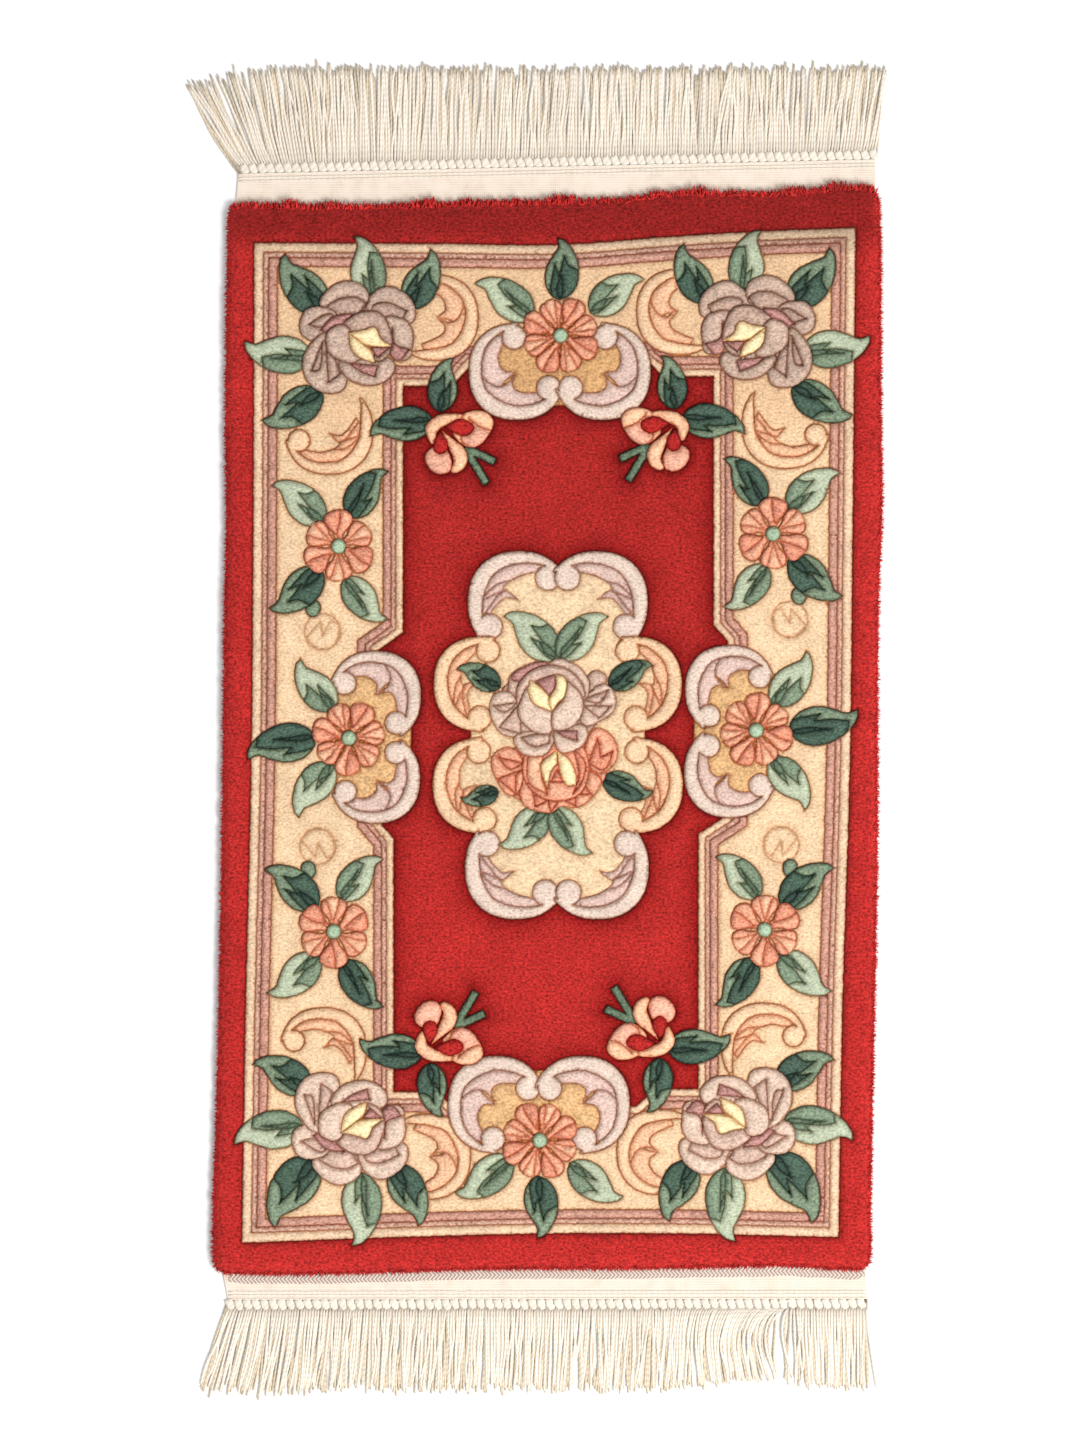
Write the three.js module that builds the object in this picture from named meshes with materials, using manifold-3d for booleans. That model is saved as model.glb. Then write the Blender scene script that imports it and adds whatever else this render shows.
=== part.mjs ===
// Carved wool pile rug lying flat, with a corded cotton fringe sewn to each end.
// Millimetres, +Z up. The origin is on the underside, in the middle of the pile, and +Y runs along the rug.
import * as THREE from 'three';
import { mergeVertices } from 'three/addons/utils/BufferGeometryUtils.js';
import Module from 'manifold-3d';

// Heights above the floor
const WEB_TOP = 2.6;
const CORE_TOP = 9;
const GROOVE_FLOOR = 10;
const FIELD_TOP = 11.4;
const GROUND_TOP = 11.8;
const STRIPE_TOP = 12.2;
const PANEL_TOP = 12.5;
const RIM_TOP = 13.4;
const SCROLL_TOP = 13.7;
const LEAF_TOP = 14.2;
const FLOWER_TOP = 14.8;
const HEART_TOP = 15.5;

// Carving: each raised form is rooted in the pile's core and its shoulder slopes up from the groove
// around it, over a run that is wider on the full forms
const ROOT = 6;
const RUN = { line: 1.4, leaf: 2.6, flower: 4, rim: 5 };

// The pile's edges wander: its worn round corners, its long sides, and its two ends from left to right
const PILE = {
  corners: { topLeft: [-337, 557], bottomLeft: [-351, -562], bottomRight: [333, -558], topRight: [342, 574] },
  sides: [
    { y: 546, left: -340, right: 347 },
    { y: 345, left: -343, right: 348 },
    { y: 240, left: -342, right: 349 },
    { y: 134, left: -344, right: 345 },
    { y: -130, left: -347, right: 344 },
    { y: -340, left: -351, right: 340 },
    { y: -498, left: -356, right: 337 },
    { y: -547, left: -356, right: 337 },
  ],
  ends: [
    { x: -327, top: 560, bottom: -566 },
    { x: -230, top: 558, bottom: -566 },
    { x: -50, top: 563, bottom: -561 },
    { x: 62, top: 565, bottom: -561 },
    { x: 136, top: 572, bottom: -560 },
    { x: 247, top: 573, bottom: -558 },
    { x: 322, top: 579, bottom: -562 },
  ],
};

// Where the red rim meets the cream border: a frame inside it, drawn from the same kind of tables
const FRAME = {
  corners: { topLeft: [-313, 521], bottomLeft: [-326, -533], bottomRight: [303, -527], topRight: [321, 537] },
  sides: [
    { y: 239, left: -314, right: 318 },
    { y: -24, left: -316, right: 315 },
    { y: -288, left: -322, right: 307 },
  ],
  ends: [
    { x: -130, top: 520, bottom: -526 },
    { x: 10, top: 519, bottom: -523 },
    { x: 122, top: 527, bottom: -523 },
    { x: 222, top: 533, bottom: -525 },
  ],
};
const RIM_STRIPES = { cream: 11.5, mauve: 12.5 };

// Corners of the red field. From each one the field's edge runs along the end to endTurn and then
// slants off to endCut, and runs along the side to sideTurn and slants off to sideCut.
const FIELD_CORNERS = {
  topLeft: { x: -156, y: 370, endTurn: -104, endCut: [-85, 391], sideTurn: 110, sideCut: [-183, 91] },
  bottomLeft: { x: -166, y: -374, endTurn: -121, endCut: [-100, -393], sideTurn: -107, sideCut: [-183, -87] },
  bottomRight: { x: 155, y: -371, endTurn: 110, endCut: [90, -389], sideTurn: -102, sideCut: [186, -82] },
  topRight: { x: 171, y: 380, endTurn: 119, endCut: [102, 395], sideTurn: 118, sideCut: [186, 101] },
};
const FIELD_STRIPES = { cream: 9.5, mauve: 10.5 };

// Flower sprays: the place of each one's main flower, and the mirror signs that turn its drawing
const SPRAYS = [
  { kind: 'topCorner', x: -204, y: 423, flipX: 1, flipY: 1 },
  { kind: 'topCorner', x: 217, y: 429, flipX: -1, flipY: 1 },
  { kind: 'bottomCorner', x: -212, y: -414, flipX: 1, flipY: 1 },
  { kind: 'bottomCorner', x: 196, y: -409, flipX: -1, flipY: 1 },
  { kind: 'end', x: 10, y: 423, flipX: 1, flipY: 1 },
  { kind: 'end', x: -12, y: -425, flipX: 1, flipY: -1 },
  { kind: 'middle', x: -213, y: -1, flipX: 1, flipY: 1 },
  { kind: 'middle', x: 216, y: 7, flipX: -1, flipY: -1 },
  { kind: 'side', x: -224, y: 201, flipX: 1, flipY: 1 },
  { kind: 'side', x: 234, y: 214, flipX: -1, flipY: 1 },
  { kind: 'side', x: -229, y: -205, flipX: 1, flipY: -1 },
  { kind: 'side', x: 225, y: -203, flipX: -1, flipY: -1 },
  { kind: 'bud', x: -99, y: 313, flipX: 1, flipY: 1 },
  { kind: 'bud', x: 112, y: 316, flipX: -1, flipY: 1 },
  { kind: 'bud', x: -110, y: -314, flipX: 1, flipY: -1 },
  { kind: 'bud', x: 97, y: -309, flipX: -1, flipY: -1 },
  { kind: 'medallion', x: 7, y: 4, flipX: 1, flipY: 1 },
];

// Leaves of each kind of spray, from stalk to tip, about its main flower
const LEAVES = {
  topCorner: [
    { from: [-34, 24], to: [-84, 80] },
    { from: [15, 37], to: [6, 106] },
    { from: [53, 28], to: [85, 87] },
    { from: [-47, -23], to: [-120, -16] },
    { from: [-37, -58], to: [-96, -97] },
  ],
  bottomCorner: [
    { from: [-36, -28], to: [-88, -96] },
    { from: [12, -44], to: [13, -122] },
    { from: [46, -36], to: [80, -97] },
    { from: [-48, 4], to: [-123, -5] },
    { from: [-40, 42], to: [-98, 77] },
  ],
  end: [
    { from: [-2, 37], to: [6, 102] },
    { from: [-29, 18], to: [-84, 62] },
    { from: [31, 24], to: [82, 66] },
  ],
  middle: [
    { from: [-15, 29], to: [-58, 78] },
    { from: [-34, 0], to: [-109, -12] },
    { from: [-17, -26], to: [-60, -78] },
  ],
  side: [
    { from: [-15, 24], to: [-64, 71] },
    { from: [10, 30], to: [45, 84] },
    { from: [-17, -24], to: [-67, -72] },
    { from: [6, -33], to: [45, -82] },
  ],
  bud: [
    { from: [-18, 29], to: [-12, 87] },
    { from: [-25, 20], to: [-93, 13] },
  ],
  medallion: [
    { from: [-5, 84], to: [-50, 130] },
    { from: [7, 84], to: [46, 129] },
    { from: [-60, 48], to: [-103, 73] },
    { from: [54, 48], to: [97, 77] },
    { from: [-62, -61], to: [-101, -73] },
    { from: [47, -47], to: [98, -68] },
    { from: [-12, -84], to: [-56, -124] },
    { from: [-3, -84], to: [29, -131] },
  ],
};
const LEAF_HALF_WIDTH = 0.27;

// Flowers: lobed outlines with a raised heart in them
const FLOWERS = {
  topCorner: [{ x: 0, y: 0, wide: 61, high: 58, lobes: 6, dip: 0.88, heart: 30 }],
  bottomCorner: [{ x: 0, y: 0, wide: 61, high: 58, lobes: 6, dip: 0.88, heart: 30 }],
  end: [{ x: 0, y: 0, wide: 41, high: 41, lobes: 8, dip: 0.8, heart: 9 }],
  middle: [{ x: 0, y: 0, wide: 39, high: 39, lobes: 7, dip: 0.8, heart: 9 }],
  side: [{ x: 0, y: 0, wide: 38, high: 38, lobes: 6, dip: 0.78, heart: 9 }],
  bud: [
    { x: -18, y: -20, wide: 16, high: 16, lobes: 3, dip: 0.95, heart: 0 },
    { x: 19, y: 10, wide: 18, high: 17, lobes: 3, dip: 0.95, heart: 0 },
    { x: -4, y: 2, wide: 22, high: 20, lobes: 3, dip: 0.95, heart: 9 },
  ],
  medallion: [
    { x: -4, y: -38, wide: 66, high: 44, lobes: 6, dip: 0.86, heart: 18 },
    { x: -6, y: 29, wide: 65, high: 51, lobes: 7, dip: 0.88, heart: 26 },
  ],
};
const HEART_SIDES = 8;
const FLOWER_LIFT = 0.2;

// C-scrolls: bands turning from one angle to the other (degrees), each end rolled into a round knob
const SCROLLS = {
  topCorner: [
    { x: 80, y: 18, radius: 44, from: 120, to: -75, band: 15 },
    { x: -30, y: -100, radius: 46, from: 190, to: 395, band: 15 },
  ],
  bottomCorner: [
    { x: 80, y: -28, radius: 44, from: -120, to: 75, band: 15 },
    { x: -28, y: 82, radius: 44, from: 170, to: -35, band: 15 },
  ],
  end: [
    { x: -45, y: -38, radius: 52, from: 80, to: 325, band: 19 },
    { x: 43, y: -38, radius: 52, from: 100, to: -145, band: 19 },
  ],
  middle: [
    { x: 30, y: 43, radius: 48, from: 165, to: -35, band: 17 },
    { x: 30, y: -41, radius: 47, from: -165, to: 35, band: 17 },
  ],
  medallion: [
    { x: -41, y: 138, radius: 56, from: 42, to: 217, band: 19 },
    { x: 41, y: 138, radius: 56, from: 138, to: -37, band: 19 },
    { x: -81, y: 52, radius: 51, from: 78, to: 262, band: 17 },
    { x: 81, y: 52, radius: 51, from: 102, to: -82, band: 17 },
    { x: -82, y: -55, radius: 51, from: 98, to: 275, band: 17 },
    { x: 82, y: -55, radius: 51, from: 82, to: -95, band: 17 },
    { x: -44, y: -142, radius: 56, from: 143, to: 318, band: 19 },
    { x: 42, y: -142, radius: 56, from: 37, to: -138, band: 19 },
  ],
};
const KNOB_RADIUS = 13;
const KNOB_TURNS = [45, 100, 155, 210, 265];
const ARC_STEP = 38;

// Grounds that the scrolls frame: plain rounded panels under them
const PANELS = {
  end: { x: -1, y: -30, wide: 84, high: 50 },
  middle: { x: 22, y: 1, wide: 46, high: 76 },
};
const MEDALLION_PANELS = [
  { x: 0, y: 125, wide: 82, high: 62 },
  { x: 0, y: 0, wide: 112, high: 98 },
  { x: -1, y: -128, wide: 84, high: 62 },
];
const PANEL_SIDES = 12;

// Bud stalks and the round seed heads beside the side sprays
const STALKS = [
  { from: [8, -8], to: [40, -23] },
  { from: [8, -8], to: [31, -46] },
];
const STALK_WIDTH = 7.5;
const SEED_HEAD = { x: -17, y: -90, radius: 22 };

// Woven ends: the web runs out from under the pile to a slanting edge, where the fringe is sewn on
const WEBS = {
  top: { left: -330, right: 343, leftEdge: 595, rightEdge: 610, under: 500, out: 1 },
  bottom: { left: -341, right: 334, leftEdge: -594, rightEdge: -593, under: -500, out: -1 },
};
const SEAM_GAP = 0.3;

// Fringe: cotton cords knotted out of a narrow heading, two cord locks to a knot
const KNOTS = 74;
const HEADING = { width: 9, top: 2.8 };
const KNOT_LENGTH = 5;
const LOCK = { width: 2.9, bend: 0.4 };
const WANDER = { reach: 3.5, root: 0.5, step: 2.4 };

// How the locks lie along each end: tip is the line they reach, lean moves the tip, bow moves the bend
const LOCK_LIE = {
  top: [
    { x: -330, tip: 688, lean: -60, bow: -4 },
    { x: -318, tip: 698, lean: -40, bow: -3 },
    { x: -300, tip: 704, lean: -25, bow: -2 },
    { x: -255, tip: 706, lean: -11, bow: 0 },
    { x: -140, tip: 704, lean: 3, bow: 0 },
    { x: 250, tip: 704, lean: 2, bow: 0 },
    { x: 343, tip: 705, lean: 15, bow: 1 },
  ],
  bottom: [
    { x: -341, tip: -689, lean: -30, bow: -2 },
    { x: -300, tip: -691, lean: -16, bow: 0 },
    { x: -200, tip: -687, lean: -4, bow: 0 },
    { x: 120, tip: -687, lean: -4, bow: 0 },
    { x: 246, tip: -674, lean: -12, bow: -11 },
    { x: 254, tip: -682, lean: 2, bow: 0 },
    { x: 334, tip: -686, lean: 2, bow: 0 },
  ],
};

const radians = THREE.MathUtils.degToRad;
const wasm = await Module();
wasm.setup();

// A closed geometry as a solid that can be joined to others
function solid(geometry) {
  geometry.deleteAttribute('normal');
  geometry.deleteAttribute('uv');
  const merged = mergeVertices(geometry);
  return new wasm.Manifold(new wasm.Mesh({
    numProp: 3,
    vertProperties: new Float32Array(merged.attributes.position.array),
    triVerts: new Uint32Array(merged.index.array),
  }));
}

function join(solids) {
  return solids.reduce((whole, piece) => whole.add(piece));
}

function meshOf(name, piece, look) {
  const { vertProperties, triVerts } = piece.getMesh();
  const geometry = new THREE.BufferGeometry();
  geometry.setAttribute('position', new THREE.BufferAttribute(vertProperties, 3));
  geometry.setIndex(new THREE.BufferAttribute(triVerts, 1));
  geometry.computeVertexNormals();
  const mesh = new THREE.Mesh(geometry, new THREE.MeshStandardMaterial(look));
  mesh.name = name;
  return mesh;
}

// A straight-sided sheet from the floor up
function sheet(shape, top) {
  return solid(new THREE.ExtrudeGeometry(shape, { depth: top, bevelEnabled: false }));
}

// A raised form, rooted in the core, with a sloping shoulder from the groove up to its top
function carved(shape, top, run) {
  const geometry = new THREE.ExtrudeGeometry(shape, {
    depth: GROOVE_FLOOR - ROOT,
    bevelEnabled: true,
    bevelThickness: top - GROOVE_FLOOR,
    bevelSize: run,
    bevelOffset: -run,
    bevelSegments: 1,
    curveSegments: 3,
  });
  return solid(geometry.translate(0, 0, ROOT));
}

const outline = (points) => new THREE.Shape(points.map(([x, y]) => new THREE.Vector2(x, y)));

function ring(outer, inner) {
  const shape = outline(outer);
  shape.holes.push(outline(inner));
  return shape;
}

// The loop through a table of corners, sides and ends, anticlockwise from the top left
function loopOf({ corners, sides, ends }) {
  const down = sides.map((row) => [row.left, row.y]);
  const along = ends.map((row) => [row.x, row.bottom]);
  const up = sides.map((row) => [row.right, row.y]).reverse();
  const back = ends.map((row) => [row.x, row.top]).reverse();
  return [
    corners.topLeft, ...down, corners.bottomLeft, ...along,
    corners.bottomRight, ...up, corners.topRight, ...back,
  ];
}

function fieldLoop() {
  const { topLeft, bottomLeft, bottomRight, topRight } = FIELD_CORNERS;
  const sideToEnd = (c) => [c.sideCut, [c.x, c.sideTurn], [c.x, c.y], [c.endTurn, c.y], c.endCut];
  const endToSide = (c) => sideToEnd(c).reverse();
  return [...endToSide(topLeft), ...sideToEnd(bottomLeft), ...endToSide(bottomRight), ...sideToEnd(topRight)];
}

// An anticlockwise loop moved inwards by a distance, or outwards if that is negative, with mitred corners
function inset(loop, distance) {
  return loop.map((point, i) => {
    const before = new THREE.Vector2(...loop.at(i - 1));
    const here = new THREE.Vector2(...point);
    const after = new THREE.Vector2(...loop[(i + 1) % loop.length]);
    const arriving = here.clone().sub(before).normalize();
    const leaving = after.sub(here).normalize();
    const inward = new THREE.Vector2(-arriving.y - leaving.y, arriving.x + leaving.x).normalize();
    const cosine = -inward.x * arriving.y + inward.y * arriving.x;
    return here.addScaledVector(inward, distance / cosine).toArray();
  });
}

// Drawing points of one spray, moved to its place and mirrored
const placer = (spray) => ([x, y]) => [spray.x + spray.flipX * x, spray.y + spray.flipY * y];

// A pointed leaf, fullest before its middle, with a tip that hooks a little to one side
function leafOutline({ from, to }, place) {
  const along = new THREE.Vector2(to[0] - from[0], to[1] - from[1]);
  const across = new THREE.Vector2(-along.y, along.x).multiplyScalar(LEAF_HALF_WIDTH);
  const at = (u, v) => place([from[0] + along.x * u + across.x * v, from[1] + along.y * u + across.y * v]);
  const shape = new THREE.Shape();
  shape.moveTo(...at(0, 0));
  shape.bezierCurveTo(...at(0.15, 1.5), ...at(0.75, 1.2), ...at(1, 0));
  shape.bezierCurveTo(...at(0.85, -1.1), ...at(0.2, -1.5), ...at(0, 0));
  return shape;
}

function lobedOutline({ x, y, wide, high, lobes, dip }, place) {
  const points = [];
  for (let i = 0; i < lobes * 2; i += 1) {
    const angle = (i / (lobes * 2)) * Math.PI * 2;
    const reach = i % 2 ? 1 : dip;
    points.push(place([x + wide * reach * Math.cos(angle), y + high * reach * Math.sin(angle)]));
  }
  return outline(points);
}

function roundOutline({ x, y, wide, high }, place, sides) {
  return lobedOutline({ x, y, wide, high, lobes: sides / 2, dip: 1 }, place);
}

// A scroll's band, walked out along its outer arc, round one knob, back inside and round the other
function scrollOutline({ x, y, radius, from, to, band }, place) {
  const sense = Math.sign(to - from);
  const steps = Math.ceil(Math.abs(to - from) / ARC_STEP);
  const stations = Array.from({ length: steps + 1 }, (_, i) => from + ((to - from) * i) / steps);
  const polar = (reach, angle, [u, v] = [x, y]) => {
    return [u + reach * Math.cos(radians(angle)), v + reach * Math.sin(radians(angle))];
  };
  const knob = (angle, way) => {
    const middle = polar(radius - KNOB_RADIUS, angle);
    return KNOB_TURNS.map((turn) => polar(KNOB_RADIUS, angle + way * turn, middle));
  };
  const outside = stations.map((angle) => polar(radius, angle));
  const inside = stations.slice(1, -1).map((angle) => polar(radius - band, angle)).reverse();
  return outline([...outside, ...knob(to, sense), ...inside, ...knob(from, -sense).reverse()].map(place));
}

function stalkOutline({ from, to }, place) {
  const along = new THREE.Vector2(to[0] - from[0], to[1] - from[1]).setLength(STALK_WIDTH / 2);
  const corners = [
    [from[0] - along.y, from[1] + along.x],
    [from[0] + along.y, from[1] - along.x],
    [to[0] + along.y, to[1] - along.x],
    [to[0] - along.y, to[1] + along.x],
  ];
  return outline(corners.map(place));
}

// Every raised form of one spray
function sprayForms(spray) {
  const { kind } = spray;
  const place = placer(spray);
  const forms = [];
  const panels = kind === 'medallion' ? MEDALLION_PANELS : [PANELS[kind]].filter(Boolean);
  panels.forEach((panel) => forms.push(carved(roundOutline(panel, place, PANEL_SIDES), PANEL_TOP, RUN.leaf)));
  (SCROLLS[kind] ?? []).forEach((scroll) => {
    forms.push(carved(scrollOutline(scroll, place), SCROLL_TOP, RUN.leaf));
  });
  LEAVES[kind].forEach((leaf) => forms.push(carved(leafOutline(leaf, place), LEAF_TOP, RUN.leaf)));
  FLOWERS[kind].forEach((flower, i) => {
    const lift = i * FLOWER_LIFT;
    forms.push(carved(lobedOutline(flower, place), FLOWER_TOP + lift, RUN.flower));
    if (flower.heart) {
      const heart = { ...flower, wide: flower.heart, high: flower.heart };
      forms.push(carved(roundOutline(heart, place, HEART_SIDES), HEART_TOP + lift, RUN.flower));
    }
  });
  if (kind === 'bud') {
    STALKS.forEach((stalk) => forms.push(carved(stalkOutline(stalk, place), SCROLL_TOP, RUN.line)));
  }
  if (kind === 'side') {
    const { radius, ...middle } = SEED_HEAD;
    const head = { ...middle, wide: radius, high: radius };
    forms.push(carved(roundOutline(head, place, PANEL_SIDES), PANEL_TOP, RUN.leaf));
  }
  return forms;
}

function webSheet({ left, right, leftEdge, rightEdge, under }) {
  return sheet(outline([[left, under], [right, under], [right, rightEdge], [left, leftEdge]]), WEB_TOP);
}

function rugBody() {
  const pile = loopOf(PILE);
  const frame = loopOf(FRAME);
  const frameMauve = inset(frame, RIM_STRIPES.cream);
  const ground = inset(frameMauve, RIM_STRIPES.mauve);
  const field = fieldLoop();
  const fieldMauve = inset(field, -FIELD_STRIPES.cream);
  const groundInside = inset(fieldMauve, -FIELD_STRIPES.mauve);
  return join([
    sheet(outline(pile), CORE_TOP),
    webSheet(WEBS.top),
    webSheet(WEBS.bottom),
    carved(ring(pile, frame), RIM_TOP, RUN.rim),
    carved(ring(frame, frameMauve), STRIPE_TOP, RUN.line),
    carved(ring(frameMauve, ground), STRIPE_TOP, RUN.line),
    carved(ring(ground, groundInside), GROUND_TOP, RUN.line),
    carved(ring(groundInside, fieldMauve), STRIPE_TOP, RUN.line),
    carved(ring(fieldMauve, field), STRIPE_TOP, RUN.line),
    carved(outline(field), FIELD_TOP, RUN.line),
    ...SPRAYS.flatMap(sprayForms),
  ]);
}

// The rows of a lie table on either side of x, blended
function lieAt(rows, x) {
  const next = Math.max(1, rows.findIndex((row) => row.x >= x));
  const [a, b] = [rows[next - 1], rows[next]];
  const share = THREE.MathUtils.clamp((x - a.x) / (b.x - a.x), 0, 1);
  const blend = (column) => THREE.MathUtils.lerp(a[column], b[column], share);
  return { tip: blend('tip'), lean: blend('lean'), bow: blend('bow') };
}

// A fringe in one comb-shaped outline: its heading strip, and the cord locks that lie on the floor
// beside each other. The two locks of a knot part at the knot's far end, and the knots at the heading.
function fringe({ left, right, leftEdge, rightEdge, out }, lie) {
  const edgeAt = (x) => THREE.MathUtils.mapLinear(x, left, right, leftEdge, rightEdge);
  const seam = out * SEAM_GAP;
  const depth = out * (SEAM_GAP + HEADING.width);
  const count = KNOTS * 2;
  const pitch = (right - left) / count;
  const half = LOCK.width / 2;
  const comb = [
    [right, rightEdge + depth],
    [right, rightEdge + seam],
    [left, leftEdge + seam],
    [left, leftEdge + depth],
  ];
  for (let i = 0; i < count; i += 1) {
    const x = left + (i + 0.5) * pitch;
    const { tip, lean, bow } = lieAt(lie, x);
    const wave = Math.sin(i * WANDER.step);
    const root = [x, edgeAt(x) + depth + WANDER.root * wave];
    const tipY = tip + WANDER.reach * wave;
    const bend = [x + lean * LOCK.bend + bow, THREE.MathUtils.lerp(root[1], tipY, LOCK.bend)];
    const run = [...(bow ? [bend] : []), [x + lean, tipY]];
    const slope = (run[0][0] - root[0]) / (run[0][1] - root[1]);
    const parting = [x + slope * out * KNOT_LENGTH, root[1] + out * KNOT_LENGTH];
    const leftSide = [i % 2 ? parting : root, ...run];
    const rightSide = [i % 2 ? root : parting, ...run].reverse();
    comb.push(...leftSide.map(([u, v]) => [u - half, v]), ...rightSide.map(([u, v]) => [u + half, v]));
  }
  return solid(new THREE.ExtrudeGeometry(outline(comb), { depth: HEADING.top, bevelEnabled: false }));
}

const group = new THREE.Group();
const wool = { color: 0xb5191c, roughness: 0.95, metalness: 0 };
const cotton = { color: 0xf5ebdd, roughness: 0.9, metalness: 0 };
group.add(meshOf('rug_body', rugBody(), wool));
group.add(meshOf('fringe_top', fringe(WEBS.top, LOCK_LIE.top), cotton));
group.add(meshOf('fringe_bottom', fringe(WEBS.bottom, LOCK_LIE.bottom), cotton));

export default group;
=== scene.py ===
import math

import bmesh
import bpy
import numpy as np
from mathutils.geometry import delaunay_2d_cdt
from mathutils.kdtree import KDTree
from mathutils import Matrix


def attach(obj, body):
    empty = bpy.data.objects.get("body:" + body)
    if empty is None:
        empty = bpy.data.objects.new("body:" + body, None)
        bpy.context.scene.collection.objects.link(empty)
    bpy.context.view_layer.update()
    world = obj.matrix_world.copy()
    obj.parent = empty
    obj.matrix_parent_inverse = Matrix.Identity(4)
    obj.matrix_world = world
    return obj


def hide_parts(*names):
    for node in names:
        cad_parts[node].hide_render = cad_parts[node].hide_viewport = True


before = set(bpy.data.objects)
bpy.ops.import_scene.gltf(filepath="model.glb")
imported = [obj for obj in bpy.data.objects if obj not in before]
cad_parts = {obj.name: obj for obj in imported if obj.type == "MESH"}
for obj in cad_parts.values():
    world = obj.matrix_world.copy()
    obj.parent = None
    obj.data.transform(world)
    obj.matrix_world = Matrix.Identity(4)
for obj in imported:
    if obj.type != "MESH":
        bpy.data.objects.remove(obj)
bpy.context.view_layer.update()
rng = np.random.default_rng(11)
mm = 0.001  # the drawing is in millimetres, Blender in metres


def linear(hexColour):
    parts = [int(hexColour[i:i + 2], 16) / 255 for i in (0, 2, 4)]
    return tuple(c / 12.92 if c <= 0.04045 else ((c + 0.055) / 1.055) ** 2.4 for c in parts)


def addNode(tree, kind, settings=None, links=None):
    node = tree.nodes.new(kind)
    for name, value in (settings or {}).items():
        if isinstance(name, int) or name in node.inputs:
            node.inputs[name].default_value = value
        else:
            setattr(node, name, value)
    for name, source in (links or {}).items():
        tree.links.new(source, node.inputs[name])
    return node


def newMaterial(name):
    material = bpy.data.materials.new(name)
    material.use_nodes = True
    material.node_tree.nodes.clear()
    return material, material.node_tree


def addRamp(tree, source, low, high):
    ramp = addNode(tree, "ShaderNodeValToRGB", {}, {0: source})
    for stop, (position, colour) in zip(ramp.color_ramp.elements, (low, high)):
        stop.position = position
        stop.color = (*linear(colour), 1)
    return ramp.outputs[0]


def addSurface(tree, colour, height, bump, settings):
    bumped = addNode(tree, "ShaderNodeBump", bump, {"Height": height})
    shader = addNode(tree, "ShaderNodeBsdfPrincipled", settings,
                     {"Base Color": colour, "Normal": bumped.outputs[0]})
    addNode(tree, "ShaderNodeOutputMaterial", {}, {"Surface": shader.outputs[0]})


def setColours(mesh, name, domain, colours):
    layer = mesh.color_attributes.new(name, "FLOAT_COLOR", domain)
    layer.data.foreach_set("color", np.asarray(colours, np.float32).ravel())


def addPiece(name, mesh, material, node):
    piece = bpy.data.objects.new(name, mesh)
    bpy.context.scene.collection.objects.link(piece)
    mesh.materials.append(material)
    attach(piece, "root")
    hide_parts(node)
    return piece


# The drawing of the rug

yarns = {
    "red": "AC2825",
    "cream": "E4C4A0",
    "stripeCream": "E2C4A6",
    "blush": "D6B09C",
    "mauveStripe": "C79886",
    "tan": "D6AC7C",
    "butter": "E2C4A0",
    "lavender": "D8C2B3",
    "lavenderLeaf": "D3B6AA",
    "peach": "E6C29E",
    "peachLeaf": "E5B592",
    "coral": "E4A688",
    "coralDeep": "D99276",
    "coralPale": "EAB696",
    "rose": "D5BBA9",
    "roseMid": "CBAD9D",
    # the rose yarns painted darker: painted shade for the roses at the top corners
    "dusk": "C2A796",
    "duskMid": "B99C8C",
    "mauve": "B98A82",
    "heart": "F2DDB0",
    "sage": "B4BCA2",
    "sageMid": "7F8F77",
    "sageDeep": "6E8069",
    "teal": "4A5F51",
    "tealDark": "3D5148",
    "disc": "A8BCA0",
    "budPeach": "EDBB98",
    "budPink": "E6AB92",
}

# Tops of the carved forms above the floor, and how far in each one's shoulder runs
heights = {
    "web": 2.6, "floor": 9.8, "field": 11.4, "ground": 11.8, "stripe": 12.2, "panel": 12.4, "rim": 13.6,
    "scroll": 13.7, "leaf": 14.2, "flower": 14.8, "heart": 15.4,
}
shoulders = {
    "field": 2.4, "ground": 2.4, "stripe": 2.6, "panel": 2.4, "rim": 7, "scroll": 3.6, "leaf": 3.6,
    "flower": 4, "heart": 4,
}

# The pile's edges wander, from left to right and from top to bottom
pileEdge = {
    "corners": [(-337, 557), (-351, -562), (333, -558), (342, 574)],
    "sides": [
        (546, -340, 347), (345, -343, 348), (240, -342, 349), (134, -344, 345), (-130, -347, 344),
        (-340, -351, 340), (-498, -356, 337), (-547, -356, 337),
    ],
    "ends": [
        (-327, 560, -566), (-230, 558, -566), (-50, 563, -561), (62, 565, -561), (136, 572, -560),
        (247, 573, -558), (322, 579, -562),
    ],
}
borderEdge = {
    "corners": [(-313, 521, 1), (-326, -533, 1), (303, -527, 1), (321, 537, 1)],
    "sides": [(239, -314, 318), (-24, -316, 315), (-288, -322, 307)],
    "ends": [(-130, 520, -526), (10, 519, -523), (122, 527, -523), (222, 533, -525)],
}
borderStripes = {"cream": 10, "blush": 5.5, "mauve": 9.5}
fieldEdge = [
    (-85, 391), (-104, 370), (-156, 370), (-156, 110), (-183, 91),
    (-183, -87), (-166, -107), (-166, -374), (-121, -374), (-100, -393),
    (90, -389), (110, -371), (155, -371), (155, -102), (186, -82),
    (186, 101), (171, 118), (171, 380), (119, 380), (102, 395),
]
fieldStripes = {"cream": 7.5, "blush": 5, "mauve": 8.5}

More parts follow.
